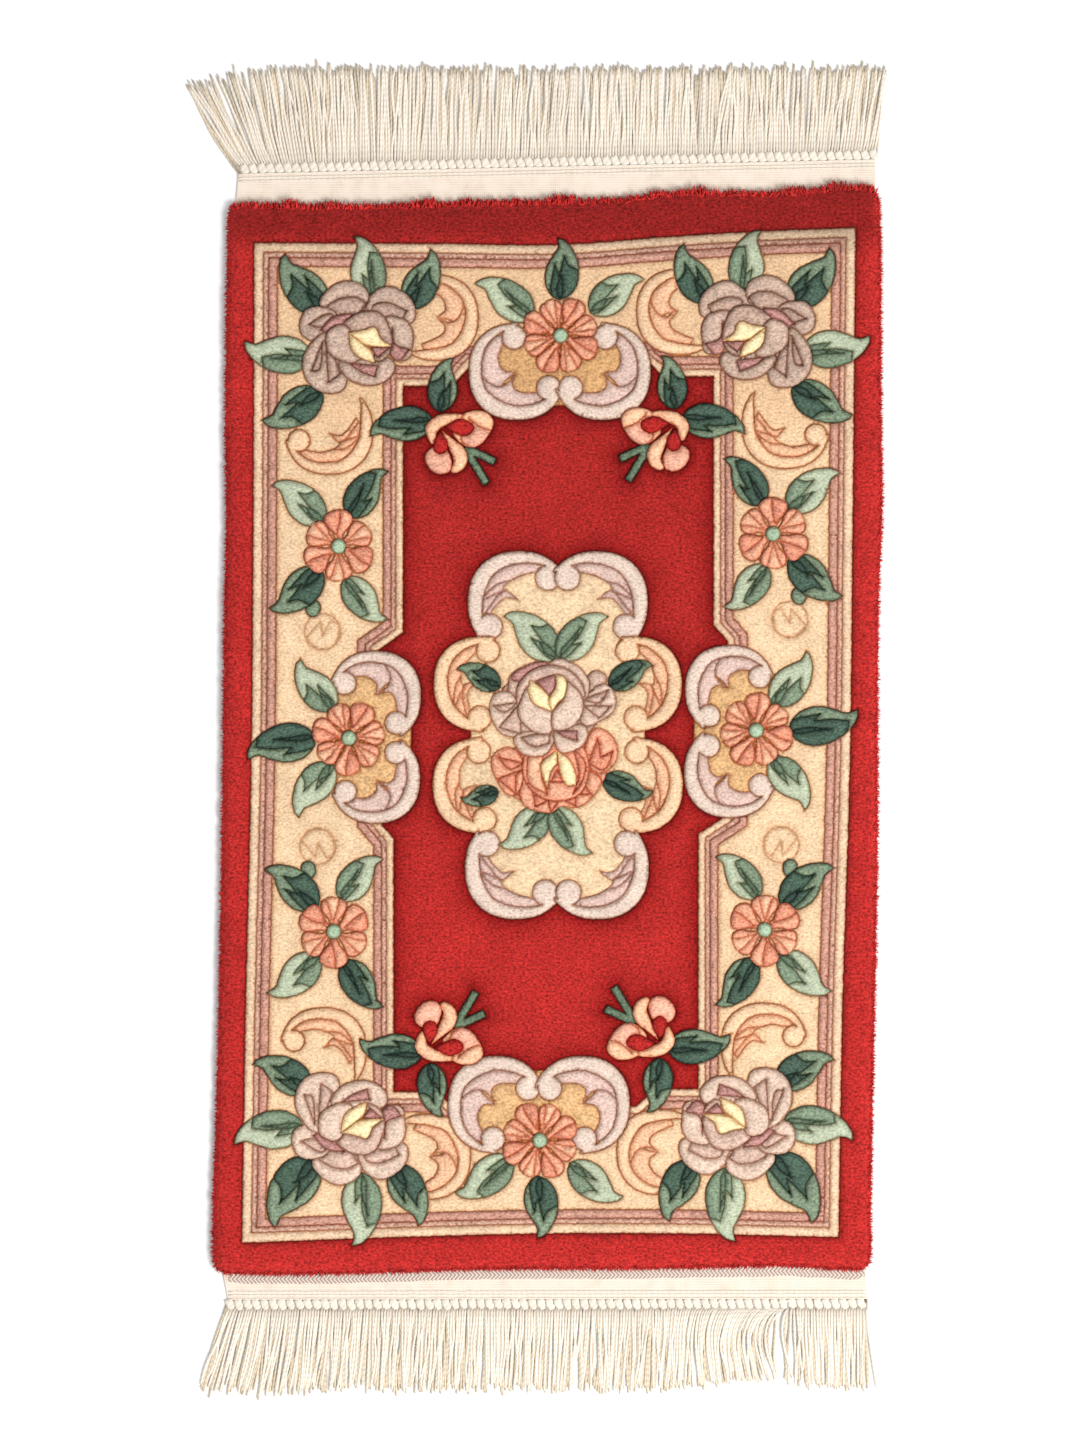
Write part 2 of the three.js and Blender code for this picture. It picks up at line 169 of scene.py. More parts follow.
# Sprays: kind, place of the main flower, mirror signs
sprays = [
    ("topCorner", -204, 423, 1, 1), ("topCorner", 217, 429, -1, 1),
    ("bottomCorner", -212, -414, 1, 1), ("bottomCorner", 196, -409, -1, 1),
    ("end", 10, 423, 1, 1), ("end", -12, -425, 1, -1),
    ("middle", -213, -1, 1, 1), ("middle", 216, 7, -1, -1),
    ("side", -224, 201, 1, 1), ("side", 234, 214, -1, 1),
    ("side", -229, -205, 1, -1), ("side", 225, -203, -1, -1),
    ("bud", -99, 313, 1, 1), ("bud", 112, 316, -1, 1),
    ("bud", -110, -314, 1, -1), ("bud", 97, -309, -1, -1),
    ("medallion", 7, 4, 1, 1),
]

# Leaves: stalk end, tip, tone, and the side that the tip hooks to
leaves = {
    "topCorner": [
        (-34, 24, -84, 80, "dark", -1), (15, 37, 6, 106, "pale", 1), (53, 28, 85, 87, "dark", 1),
        (-47, -23, -120, -16, "pale", -1), (-37, -58, -96, -97, "dark", -1),
    ],
    "bottomCorner": [
        (-36, -28, -88, -96, "dark", 1), (12, -44, 13, -122, "pale", -1), (46, -36, 80, -97, "dark", -1),
        (-48, 4, -123, -5, "pale", 1), (-40, 42, -98, 77, "dark", 1),
    ],
    "end": [(-2, 37, 6, 102, "dark", 1), (-29, 18, -84, 62, "pale", 1), (31, 24, 82, 66, "pale", -1)],
    "middle": [
        (-15, 29, -58, 78, "pale", -1), (-34, 0, -109, -12, "dark", 1), (-17, -26, -60, -78, "pale", 1),
    ],
    "side": [
        (-15, 24, -64, 71, "pale", 1), (10, 30, 45, 84, "dark", -1),
        (-17, -24, -67, -72, "dark", -1), (6, -33, 45, -82, "pale", 1),
    ],
    "bud": [(-18, 29, -12, 87, "dark", -1), (-25, 20, -93, 13, "dark", 1)],
    "medallion": [
        (-1, 78, -50, 130, "pale", 1), (1, 78, 46, 129, "pale", -1),
        (-60, 48, -103, 73, "dark", 1), (54, 48, 97, 77, "dark", -1),
        (-62, -61, -101, -73, "dark", -1), (47, -47, 98, -68, "dark", 1),
        (-9, -78, -56, -124, "pale", -1), (-5, -78, 29, -131, "pale", 1),
    ],
}
leafTones = {"pale": ("sage", "sageMid", "sageDeep"), "dark": ("sageMid", "teal", "tealDark")}

leafReach = {"pale": (1.05, 0), "dark": (1.22, 0.07)}  # how far the shade runs up and over the leaf
leafSlim = 0.94  # share of the width that leafShape gives

# One leaf on a unit stalk, tip to the right; a third number marks a sharp point
leafShape = [
    (0, 0, 1), (0.06, 0.13), (0.24, 0.26), (0.48, 0.28), (0.7, 0.19), (0.84, 0.12), (1, 0.15, 1),
    (0.97, 0.02), (0.84, -0.13), (0.6, -0.26), (0.3, -0.28), (0.08, -0.15),
]
leafShades = [
    [(-0.05, 0.02, 1), (0.12, 0.09), (0.3, 0.09), (0.48, 0.07, 1), (0.31, -0.02, 1), (0.6, -0.07, 1),
     (0.48, -0.17), (0.42, -0.4, 1), (-0.05, -0.4, 1)],
    [(-0.05, 0.05, 1), (0.16, 0.09), (0.4, 0.1, 1), (0.3, 0.01, 1), (0.52, -0.01), (0.7, -0.07, 1),
     (0.62, -0.4, 1), (-0.05, -0.4, 1)],
]
leafVeins = [
    [(0.02, -0.01, 1), (0.2, 0.06), (0.4, 0, 1), (0.26, -0.04), (0.12, -0.05)],
    [(0.02, -0.01, 1), (0.26, 0), (0.6, -0.08, 1), (0.34, -0.07), (0.14, -0.07)],
]

# C-scrolls: centre, outer radius, from and to angle, yarn, knobs
scrolls = {
    "topCorner": [(82, 19, 45, 118, -125, "peach", 1), (-30, -100, 46, 198, 400, "peach", 1)],
    "bottomCorner": [(82, -28, 45, -118, 125, "peach", 1), (-28, 84, 45, 162, -40, "peach", 1)],
    "end": [(-46, -38, 51, 95, 333, "lavender", 2), (44, -38, 51, 85, -153, "lavender", 2)],
    "middle": [(28, 44, 48, 157, -52, "lavender", 2), (28, -43, 47, -157, 52, "lavender", 2)],
    "medallion": [
        (-41, 138, 54, 40, 220, "lavender", 2), (41, 138, 54, 140, -40, "lavender", 2),
        (-81, 52, 50, 78, 268, "peach", 2), (81, 52, 50, 102, -88, "peach", 2),
        (-82, -55, 50, 92, 278, "peach", 2), (82, -55, 50, 88, -98, "peach", 2),
        (-44, -142, 54, 320, 140, "lavender", 2), (42, -142, 54, -140, 40, "lavender", 2),
    ],
}
scrollShape = {  # a scroll that turns further than long has the long leaves
    "knob": 13, "knobDeep": 14.8, "horn": 0.03, "square": 2.25, "ground": 5, "long": 205, "unit": 52,
    "step": 12,
}
# The band and the curled leaves inside a scroll: share of the turn, millimetres in from the edge
scrollBand = [
    (1, 4), (0.93, 11), (0.84, 14.5), (0.7, 16), (0.5, 15.5), (0.35, 14), (0.2, 11.5), (0.08, 8), (0, 4),
]
shortLeaf = [
    [(0.08, 13, 1), (0.16, 7), (0.3, 9), (0.44, 9), (0.6, 9), (0.76, 9), (0.93, 17, 1), (0.81, 30),
     (0.68, 38), (0.4, 49, 1), (0.53, 37), (0.55, 32), (0.4, 29), (0.26, 25)],
    [(0.07, 13, 1), (0.15, 6.5), (0.3, 9), (0.46, 9), (0.74, 15, 1), (0.57, 24), (0.4, 29), (0.26, 25)],
    [(0.76, 14, 1), (0.54, 34, 1), (0.68, 30), (0.79, 25), (0.89, 14, 1)],
]
longLeaf = [
    [(0.04, 13, 1), (0.12, 8), (0.25, 10), (0.4, 12), (0.52, 13), (0.62, 14, 1), (0.54, 30), (0.44, 50, 1),
     (0.33, 37), (0.2, 28), (0.1, 21)],
    [(0.4, 15, 1), (0.5, 11), (0.65, 10), (0.8, 10), (0.92, 10), (0.97, 16, 1), (0.87, 26), (0.75, 31),
     (0.66, 37), (0.6, 48, 1), (0.56, 34), (0.49, 24)],
]

panels = {
    "end": [(-1, -30, 80, 44, "tan")],
    "middle": [(22, 1, 44, 72, "tan")],
    "medallion": [(0, 122, 80, 50, "butter"), (0, 0, 92, 104, "butter"), (-1, -126, 82, 50, "butter")],
}

# Small flowers: radius, petals, turn of the first petal
smallFlowers = {"end": (41, 8, 20), "middle": (39, 7, 10), "side": (38, 6, 30)}
petalShape = [
    (0.12, -0.6), (0.4, -0.8), (0.7, -1), (0.9, -0.82), (1, -0.3), (0.98, 0.3), (0.9, 0.82),
    (0.7, 1), (0.4, 0.8), (0.12, 0.6),
]
petalReach = (0.96, 1.02)  # every second petal is a little longer
foldYarns = ("coralPale", "coralDeep")
flowerEye = 8
petalFolds = [
    [(0.26, -0.1, 1), (0.5, 0.2), (0.8, 0.32), (1.1, 0.3, 1), (1.1, -0.55, 1), (0.8, -0.4), (0.5, -0.3)],
    [(0.3, 0.3, 1), (0.5, 0), (0.78, -0.12), (1.1, -0.05, 1), (1.1, 1.1, 1), (0.6, 1, 1)],
]

# The corner rose on a unit radius: yarn, height, outline. Its darker rose yarns are painted shade, as the top
# end is darker
cornerRose = [
    ("dusk", "flower", [(0.1, 0.5), (0.3, 0.8), (0.55, 0.9), (0.85, 0.75), (1, 0.5), (0.95, 0.25),
        (0.6, 0.2), (0.3, 0.4)]),
    ("duskMid", "flower", [(0.25, 0.5), (0.5, 0.6), (0.85, 0.45, 1), (0.75, 0.3), (0.45, 0.3)]),
    ("dusk", "flower", [(-0.65, 0.55), (-0.5, 0.85), (-0.2, 1), (0.1, 0.9), (0.2, 0.7), (0.05, 0.4),
        (-0.35, 0.35)]),
    ("duskMid", "flower", [(-0.55, 0.45), (-0.35, 0.65), (-0.05, 0.7), (0.15, 0.6, 1), (0, 0.4),
        (-0.3, 0.35)]),
    ("dusk", "flower", [(-0.5, 0.5), (-0.85, 0.5), (-1, 0.25), (-0.95, 0), (-0.7, -0.1), (-0.45, 0.1),
        (-0.35, 0.35)]),
    ("duskMid", "flower", [(-0.85, 0.2, 1), (-0.6, 0.15), (-0.4, 0.3), (-0.5, 0.4)]),
    ("dusk", "flower", [(-0.55, 0.05), (-0.88, -0.25), (-0.95, -0.6), (-0.8, -0.92), (-0.5, -1.05),
        (-0.22, -0.95), (-0.2, -0.5), (-0.4, -0.2)]),
    ("duskMid", "flower", [(-0.6, -0.1, 1), (-0.8, -0.65, 1), (-0.65, -0.6)]),
    ("duskMid", "flower", [(-0.55, -0.1, 1), (-0.5, -0.85, 1), (-0.3, -0.7, 1), (-0.4, -0.4)]),
    ("dusk", "flower", [(-0.3, -0.45), (-0.2, -0.75), (0.1, -0.9), (0.45, -0.85), (0.65, -0.6),
        (0.55, -0.4), (0.2, -0.4)]),
    ("mauve", "flower", [(-0.15, -0.5, 1), (0.35, -0.55, 1), (0.3, -0.75, 1), (0.05, -0.65)]),
    ("dusk", "flower", [(0.45, 0.3), (0.8, 0.3), (0.95, 0.1), (0.95, -0.2), (0.9, -0.4), (0.65, -0.45),
        (0.5, -0.2)]),
    ("mauve", "flower", [(0.6, 0.15, 1), (0.65, -0.15), (0.9, -0.25, 1), (0.7, -0.45), (0.55, -0.3)]),
    ("mauve", "flower", [(-0.65, 0.1, 1), (-0.4, 0.35), (-0.1, 0.4, 1), (-0.2, 0.15), (-0.5, 0.05)]),
    ("duskMid", "heart", [(-0.25, 0.15), (-0.1, 0.35), (0.15, 0.45), (0.4, 0.4), (0.55, 0.15),
        (0.6, -0.15), (0.5, -0.4), (0.3, -0.45), (0.3, -0.1), (0, 0)]),
    ("dusk", "heart", [(-0.55, -0.05), (-0.5, 0.1), (-0.25, 0.2), (-0.1, 0.05), (0.05, -0.4),
        (-0.1, -0.5), (-0.3, -0.45), (-0.5, -0.3)]),
    ("heart", "heart", [(-0.15, 0.05, 1), (0.1, 0.1), (0.3, 0.15), (0.4, -0.05), (0.6, -0.2, 1),
        (0.3, -0.2), (0.1, -0.15)]),
    ("heart", "heart", [(-0.15, 0.05, 1), (0.1, -0.15), (0.25, -0.3), (0.3, -0.5, 1), (0.05, -0.4),
        (-0.1, -0.25)]),
    ("mauve", "flower", [(0.2, -0.2, 1), (0.55, -0.22, 1), (0.35, -0.4, 1)]),
]

# The two roses of the medallion, on a unit half width
medallionRoses = [
    (-4, -38, 66, [
        ("coral", "flower", [(-0.8, 0.1), (-0.7, -0.4), (0, -0.55), (0.7, -0.3), (0.85, 0.2),
            (0.5, 0.5), (-0.5, 0.4)]),
        ("coral", "flower", [(-0.55, -0.35), (-0.45, -0.6), (-0.05, -0.7), (0.1, -0.6), (0.4, -0.6),
            (0.65, -0.4), (0.75, -0.15), (0.4, 0), (-0.4, 0)]),
        ("coralDeep", "flower", [(-0.35, -0.3, 1), (-0.3, -0.6, 1), (-0.1, -0.5, 1), (-0.05, -0.7, 1),
            (0.1, -0.45, 1), (0.35, -0.6, 1), (0.35, -0.4, 1), (0.6, -0.4, 1), (0.4, -0.2)]),
        ("coral", "flower", [(-0.5, 0.15), (-0.7, 0.35), (-0.95, 0.25), (-1, 0.05), (-0.9, -0.2),
            (-0.75, -0.4), (-0.6, -0.4), (-0.5, -0.2)]),
        ("coralDeep", "flower", [(-0.5, 0.1, 1), (-0.9, 0.2, 1), (-0.7, 0)]),
        ("coralDeep", "flower", [(-0.5, 0, 1), (-0.9, -0.15, 1), (-0.6, -0.4, 1), (-0.6, -0.1)]),
        ("coral", "flower", [(0.5, 0.35), (0.65, 0.65), (0.85, 0.6), (1, 0.4), (1, 0.15), (0.8, -0.05),
            (0.6, 0)]),
        ("coralDeep", "flower", [(0.55, 0.1, 1), (0.7, 0.5, 1), (0.75, 0.2, 1), (0.95, 0.3, 1), (0.8, 0)]),
        ("coral", "heart", [(0.05, 0.6), (-0.35, 0.45), (-0.5, 0.1), (-0.45, -0.2), (-0.2, -0.45),
            (0.1, -0.5), (0.4, -0.4), (0.55, -0.1), (0.5, 0.3), (0.3, 0.5)]),
        ("coralPale", "heart", [(-0.4, 0.3, 1), (-0.2, 0.3), (-0.2, -0.1), (-0.1, -0.4, 1), (-0.4, -0.2)]),
        ("coralDeep", "heart", [(0.3, 0.35, 1), (0.5, 0.1), (0.45, -0.2), (0.3, -0.4, 1), (0.4, -0.1)]),
        ("heart", "heart", [(0.05, 0.3, 1), (-0.2, 0.1), (-0.2, -0.05), (-0.1, -0.3, 1), (-0.05, -0.05),
            (0.05, 0.1, 1)]),
        ("heart", "heart", [(0.05, 0.3, 1), (0.25, 0.15), (0.35, -0.1), (0.35, -0.25, 1), (0.2, -0.25),
            (0.1, -0.05)]),
        ("coralDeep", "heart", [(0.05, 0, 1), (0.15, -0.2, 1), (-0.05, -0.2, 1)]),
    ]),
    (-6, 29, 66, [
        ("roseMid", "flower", [(-0.85, 0.1), (-0.7, -0.4), (0, -0.6), (0.6, -0.4), (0.85, 0.1),
            (0.6, 0.45), (-0.5, 0.5)]),
        ("roseMid", "flower", [(-0.65, 0.5), (-0.7, 0.3), (-0.7, 0.05), (-0.55, 0), (-0.4, 0.3),
            (-0.45, 0.5)]),
        ("rose", "flower", [(-0.65, 0.2), (-0.9, 0.2), (-1, -0.05), (-0.95, -0.25), (-0.8, -0.45),
            (-0.5, -0.5), (-0.35, -0.4), (-0.5, -0.1)]),
        ("roseMid", "flower", [(-0.55, 0.05, 1), (-0.95, 0, 1), (-0.75, -0.1)]),
        ("roseMid", "flower", [(-0.55, 0, 1), (-0.85, -0.35, 1), (-0.5, -0.45, 1), (-0.5, -0.25)]),
        ("roseMid", "flower", [(0.5, 0.3), (0.65, 0.55), (0.85, 0.5), (0.85, 0.35), (0.6, 0.05)]),
        ("rose", "flower", [(0.8, 0.35), (1, 0.2), (1, -0.05), (0.85, -0.2), (0.5, -0.3), (0.5, 0.05)]),
        ("roseMid", "flower", [(0.5, 0.1, 1), (0.9, 0.25, 1), (0.75, 0.05)]),
        ("roseMid", "flower", [(0.5, 0, 1), (0.95, 0, 1), (0.75, -0.2, 1)]),
        ("mauve", "flower", [(-0.65, 0.45), (-0.4, 0.65), (-0.1, 0.7), (0, 0.55), (-0.4, 0.4)]),
        ("rose", "flower", [(-0.05, 0.6), (0.05, 0.75), (0.3, 0.7), (0.5, 0.55), (0.6, 0.35),
            (0.5, 0.1), (0.2, 0.4)]),
        ("roseMid", "flower", [(0, 0.6, 1), (0.25, 0.55), (0.5, 0.25, 1), (0.35, 0.3), (0.1, 0.5)]),
        ("rose", "flower", [(-0.6, -0.5), (-0.55, -0.7), (-0.4, -0.8), (-0.15, -0.8), (0, -0.65),
            (0, -0.45), (-0.3, -0.4)]),
        ("roseMid", "flower", [(-0.5, -0.5, 1), (-0.3, -0.65), (-0.05, -0.6, 1), (-0.05, -0.45)]),
        ("rose", "flower", [(0.05, -0.4), (0.05, -0.6), (0.15, -0.75), (0.4, -0.7), (0.55, -0.55),
            (0.55, -0.35), (0.4, -0.3)]),
        ("mauve", "flower", [(0.05, -0.4, 1), (0.4, -0.4, 1), (0.4, -0.55, 1), (0.2, -0.5)]),
        ("roseMid", "heart", [(0, 0.65), (-0.35, 0.55), (-0.55, 0.3), (-0.55, 0), (-0.3, -0.3),
            (0.3, -0.3), (0.5, 0), (0.5, 0.3), (0.3, 0.55)]),
        ("mauve", "heart", [(-0.25, 0.4, 1), (0.05, 0.5, 1), (0.05, 0.3), (-0.05, 0.15, 1)]),
        ("heart", "heart", [(-0.35, 0.4, 1), (-0.25, 0.35), (-0.05, 0.15), (0, -0.1, 1), (-0.25, -0.05),
            (-0.4, 0.1)]),
        ("heart", "heart", [(0.05, 0.5, 1), (0.2, 0.45), (0.25, 0.2), (0.1, 0.05), (0, -0.1, 1),
            (-0.05, 0.1), (0.05, 0.3)]),
        ("rose", "heart", [(-0.4, 0.3, 1), (-0.5, 0.1), (-0.55, -0.1), (-0.45, -0.3), (-0.2, -0.45),
            (0, -0.4), (0, -0.1, 1), (-0.3, 0.05)]),
        ("rose", "heart", [(0, -0.1, 1), (0.2, 0.15), (0.25, 0.4, 1), (0.45, 0.2), (0.5, 0),
            (0.45, -0.2), (0.3, -0.35), (0.1, -0.4), (0, -0.35)]),
    ]),
]

# The bud in millimetres, with its forked stalk
budShape = [
    ("budPeach", "flower", [(-33, 14), (-21, 26), (0, 28), (9, 24), (-6, 18), (-20, 10), (-25, -4),
        (-31, 2)]),
    ("budPeach", "flower", [(6, 27), (26, 31), (38, 22), (36, 10), (27, -2), (15, -8), (2, -2), (-4, 8),
        (8, 16)]),
    ("budPink", "flower", [(12, 24, 1), (24, 14), (36, 10, 1), (28, -2), (15, -8), (4, 2), (14, 10)]),
    ("red", "scroll", [(-14, 14, 1), (2, 22), (16, 17), (17, 10), (8, 4), (-4, 8)]),
    ("budPeach", "flower", [(-16, 10, 1), (-4, 1), (7, -8), (11, -20), (6, -31), (-6, -34), (-4, -22),
        (-8, -10)]),
    ("budPink", "flower", [(-14, -8), (-6, -20), (-8, -33), (-20, -36), (-31, -28), (-34, -16),
        (-26, -8)]),
    ("red", "scroll", [(-18, 9, 1), (-11, 0), (-10, -10), (-18, -15), (-25, -9), (-23, 2)]),
]
stalks = [(8, -8, 40, -23), (8, -8, 31, -46)]
stalkWidth = 8.5

# The round seed head beside a side spray is only a thin carved line in the ground's own yarn
seedHead = {"x": -17, "y": -90, "radius": 19, "line": 0.55, "bract": (-27, -65, 8, 9.6)}
seedZigzag = [
    (-0.9, -0.35, 1), (-0.1, 0.6, 1), (0, -0.2, 1), (0.5, 0.65, 1), (0.9, 0.3), (0.6, -0.75), (-0.3, -0.9),
]

cells = []
carving = {"step": 2.2, "wobble": 0.28, "stripeWobble": 0.45, "rimWobble": 0.8}
# How deep each kind of line is carved, which also sets how strong the painted shade in it is
lineDepths = {"shade": 0.85, "vein": 0.7, "feather": 0.85, "fold": 0.75, "petal": 0.9}
groundShade = {"field": 1.0, "border": 0.5, "panel": 0.4}  # how strong the painted shade is on each ground beside the carving
roseSize = (61, 58)
tiny = 1e-6


def smoothLoop(points, step=carving["step"]):
    xy = np.array([p[:2] for p in points], float)
    sharp = [len(p) > 2 and bool(p[2]) for p in points]
    count = len(points)
    runs = []
    for i in range(count):
        j = (i + 1) % count
        a, b = xy[i], xy[j]
        before, after = b - xy[i - 1], xy[(i + 2) % count] - a
        chord = math.hypot(*(b - a))
        leave = b - a if sharp[i] else before * chord / max(tiny, math.hypot(*before))
        arrive = b - a if sharp[j] else after * chord / max(tiny, math.hypot(*after))
        parts = max(1, round(chord / step))
        t = (np.arange(parts) / parts)[:, None]
        runs.append(
            (2 * t**3 - 3 * t**2 + 1) * a + (t**3 - 2 * t**2 + t) * leave
            + (3 * t**2 - 2 * t**3) * b + (t**3 - t**2) * arrive
        )
    return np.vstack(runs)


def addCell(points, yarn, height, piece, line=1.0, within=None, group=None, ground=0.0,
            wobble=carving["wobble"]):
    loop = smoothLoop(points)
    loop = loop + rng.uniform(-wobble, wobble, loop.shape)
    after = np.roll(loop, -1, axis=0)
    if np.sum(loop[:, 0] * after[:, 1] - after[:, 0] * loop[:, 1]) < 0:
        loop = loop[::-1]  # a mirrored drawing turns its loops round
    cells.append({
        "loop": loop, "yarn": linear(yarns[yarn]), "top": heights[height], "run": shoulders[height],
        "piece": piece, "line": line, "within": within, "group": group or len(cells), "ground": ground,
    })
    return len(cells) - 1


def edgeLoop(table):
    down = [(left, y) for y, left, right in table["sides"]]
    along = [(x, bottom) for x, top, bottom in table["ends"]]
    up = [(right, y) for y, left, right in reversed(table["sides"])]
    back = [(x, top) for x, top, bottom in reversed(table["ends"])]
    topLeft, bottomLeft, bottomRight, topRight = table["corners"]
    return [topLeft, *down, bottomLeft, *along, bottomRight, *up, topRight, *back]


# An anticlockwise loop moved inwards, or outwards where the distance is negative, with mitred corners
def inset(points, distance):
    moved = []
    for i, point in enumerate(points):
        here = np.array(point[:2], float)
        before = here - np.array(points[i - 1][:2], float)
        after = np.array(points[(i + 1) % len(points)][:2], float) - here
        before /= math.hypot(*before)
        after /= math.hypot(*after)
        inward = np.array([-before[1] - after[1], before[0] + after[0]])
        inward /= math.hypot(*inward)
        cosine = inward[1] * before[0] - inward[0] * before[1]
        moved.append((*(here + inward * distance / cosine), *point[2:]))
    return moved


def roundLoop(x, y, wide, high, count=16):
    turns = [2 * math.pi * i / count for i in range(count)]
    return [(x + wide * math.cos(a), y + high * math.sin(a)) for a in turns]


def drawLeaf(place, row, index, piece):
    x0, y0, x1, y1, tone, hook = row
    root, along = np.array([x0, y0], float), np.array([x1 - x0, y1 - y0], float)
    across = np.array([-along[1], along[0]]) * hook * leafSlim

    def at(points):
        return [place((*(root + along * p[0] + across * p[1]), *p[2:])) for p in points]

    light, mid, deep = leafTones[tone]
    leaf = addCell(at(leafShape), light, "leaf", piece)
    reach, over = leafReach[tone]
    shape = [(p[0] * reach, p[1] + over, *p[2:]) for p in leafShades[index % 2]]
    shade = addCell(at(shape), mid, "leaf", piece, line=lineDepths["shade"], within=leaf)
    addCell(at(leafVeins[index % 2]), deep, "leaf", piece, line=lineDepths["vein"], within=shade)


def drawScroll(place, row, piece):
    x, y, radius, start, end, yarn, knobs = row
    steps = math.ceil(abs(end - start) / scrollShape["step"])
    size, square, horn = radius / scrollShape["unit"], scrollShape["square"], scrollShape["horn"]
    body = f"scroll {len(cells)}"

    def along(shape):
        drawn = []
        for part, depth, *sharp in shape:
            angle = math.radians(start + (end - start) * part)
            c, d = math.cos(angle), math.sin(angle)
            reach = (radius - depth * size) * (abs(c) ** square + abs(d) ** square) ** (-1 / square)
            drawn.append(place((x + reach * c, y + reach * d, *sharp)))
        return drawn

    for shape in longLeaf if abs(end - start) > scrollShape["long"] else shortLeaf:
        addCell(along(shape), yarn + "Leaf", "scroll", piece, line=lineDepths["feather"])
    outside = [(-horn + (1 + 2 * horn) * i / steps, 0) for i in range(steps + 1)]
    addCell(along([*outside, *scrollBand]), yarn, "scroll", piece, group=body)
    for part in range(knobs):  # the band's ends roll up into knobs
        middle = along([(part, scrollShape["knobDeep"])])[0]
        knob = scrollShape["knob"] * size
        addCell(roundLoop(*middle, knob, knob, 12), yarn, "scroll", piece, group=body)


def drawSmallFlower(place, kind, piece):
    radius, petals, turn = smallFlowers[kind]
    half = math.pi / petals
    for i in range(petals):
        angle = math.radians(turn) + 2 * math.pi * i / petals

        def at(points):
            spread = []
            for p in points:
                a = angle + p[1] * half
                reach = radius * p[0] * petalReach[i % 2]
                spread.append(place((reach * math.cos(a), reach * math.sin(a), *p[2:])))
            return spread

        petal = addCell(at(petalShape), "coral", "flower", piece)
        fold = at(petalFolds[i % 2])
        addCell(fold, foldYarns[i % 2], "flower", piece, line=lineDepths["fold"], within=petal)
    addCell([place(p) for p in roundLoop(0, 0, flowerEye, flowerEye, 10)], "disc", "heart", piece)


def drawShapes(place, x, y, wide, high, rows, piece):
    for yarn, height, points in rows:
        drawn = [place((x + wide * p[0], y + high * p[1], *p[2:])) for p in points]
        addCell(drawn, yarn, height, piece, line=lineDepths["petal"])


sprayPieces = {
    "topCorner": "pile_corners", "bottomCorner": "pile_corners", "end": "pile_ends", "middle": "pile_sides",
    "side": "pile_sides", "bud": "pile_buds", "medallion": "pile_medallion",
}


def drawSpray(spray):
    kind, x, y, flipX, flipY = spray
    piece = sprayPieces[kind]

    def place(p):
        return (x + flipX * p[0], y + flipY * p[1], *p[2:])

    def ring(*settings):
        return [place(p) for p in roundLoop(*settings)]

    grounds = list(panels.get(kind, []))
    if grounds:  # the ground also fills each scroll
        for cx, cy, radius, *others in scrolls[kind]:
            reach = radius - scrollShape["ground"]
            grounds.append((cx, cy, reach, reach, grounds[0][4]))
    for px, py, wide, high, yarn in grounds:
        addCell(ring(px, py, wide, high, 24), yarn, "panel", piece, ground=groundShade["panel"],
                group=f"{kind} ground {x}")
    for row in scrolls.get(kind, []):
        drawScroll(place, row, piece)
    if kind == "side":
        head, radius = seedHead, seedHead["radius"]
        rim = ring(head["x"], head["y"], radius, radius)
        disc = addCell(rim, "cream", "ground", piece, line=head["line"])
        drawn = [(head["x"] + radius * p[0], head["y"] + radius * p[1], *p[2:]) for p in seedZigzag]
        addCell([place(p) for p in drawn], "cream", "ground", piece, line=head["line"], within=disc)
        addCell(ring(*head["bract"], 8), "sageMid", "leaf", piece)
    for index, row in enumerate(leaves[kind]):
        drawLeaf(place, row, index, piece)
    if kind in smallFlowers:
        drawSmallFlower(place, kind, piece)
    if kind == "topCorner":
        drawShapes(place, 0, 0, *roseSize, cornerRose, piece)
    if kind == "bottomCorner":
        # the bottom corners' roses take the plain rose yarns, without the painted shade
        paler = [(yarn.replace("dusk", "rose"), height, points) for yarn, height, points in cornerRose]
        drawShapes(place, 0, 0, roseSize[0], -roseSize[1], paler, piece)
    if kind == "medallion":
        for rx, ry, wide, rows in medallionRoses:
            drawShapes(place, rx, ry, wide, wide, rows, piece)
    if kind == "bud":
        for x0, y0, x1, y1 in stalks:
            side = np.array([y0 - y1, x1 - x0], float)
            side *= stalkWidth / 2 / math.hypot(*side)
            bar = [(x0 - side[0], y0 - side[1], 1), (x1 - side[0], y1 - side[1], 1),
                   (x1 + side[0], y1 + side[1], 1), (x0 + side[0], y0 + side[1], 1)]
            addCell([place(p) for p in bar], "sageDeep", "scroll", piece, group=f"stalk {x} {y}")
        drawShapes(place, 0, 0, 1, 1, budShape, piece)


pileLoop = edgeLoop(pileEdge)
borderLoop = edgeLoop(borderEdge)
fieldLoop = [(x, y, 1) for x, y in fieldEdge]
borderBlush = inset(borderLoop, borderStripes["cream"])
borderMauve = inset(borderBlush, borderStripes["blush"])
groundLoop = inset(borderMauve, borderStripes["mauve"])
fieldCream = inset(fieldLoop, -fieldStripes["cream"])
fieldBlush = inset(fieldCream, -fieldStripes["blush"])
fieldMauve = inset(fieldBlush, -fieldStripes["mauve"])

addCell(pileLoop, "red", "rim", "pile_rim", wobble=carving["rimWobble"])
for loop, yarn, height, ground in (
    (borderLoop, "stripeCream", "stripe", 0.0),
    (borderBlush, "blush", "stripe", 0.0),
    (borderMauve, "mauveStripe", "stripe", 0.0),
    (groundLoop, "cream", "ground", groundShade["border"]),
    (fieldMauve, "mauveStripe", "stripe", 0.0),
    (fieldBlush, "blush", "stripe", 0.0),
    (fieldCream, "stripeCream", "stripe", 0.0),
    (fieldLoop, "red", "field", groundShade["field"]),
):
    piece = "pile_field" if height == "field" else "pile_border"
    addCell(loop, yarn, height, piece, ground=ground, wobble=carving["stripeWobble"])
for spray in sprays:
    drawSpray(spray)
print("drawn cells:", len(cells))

# The pile's surface: all outlines in one triangulation, and each triangle belongs to the topmost cell over it

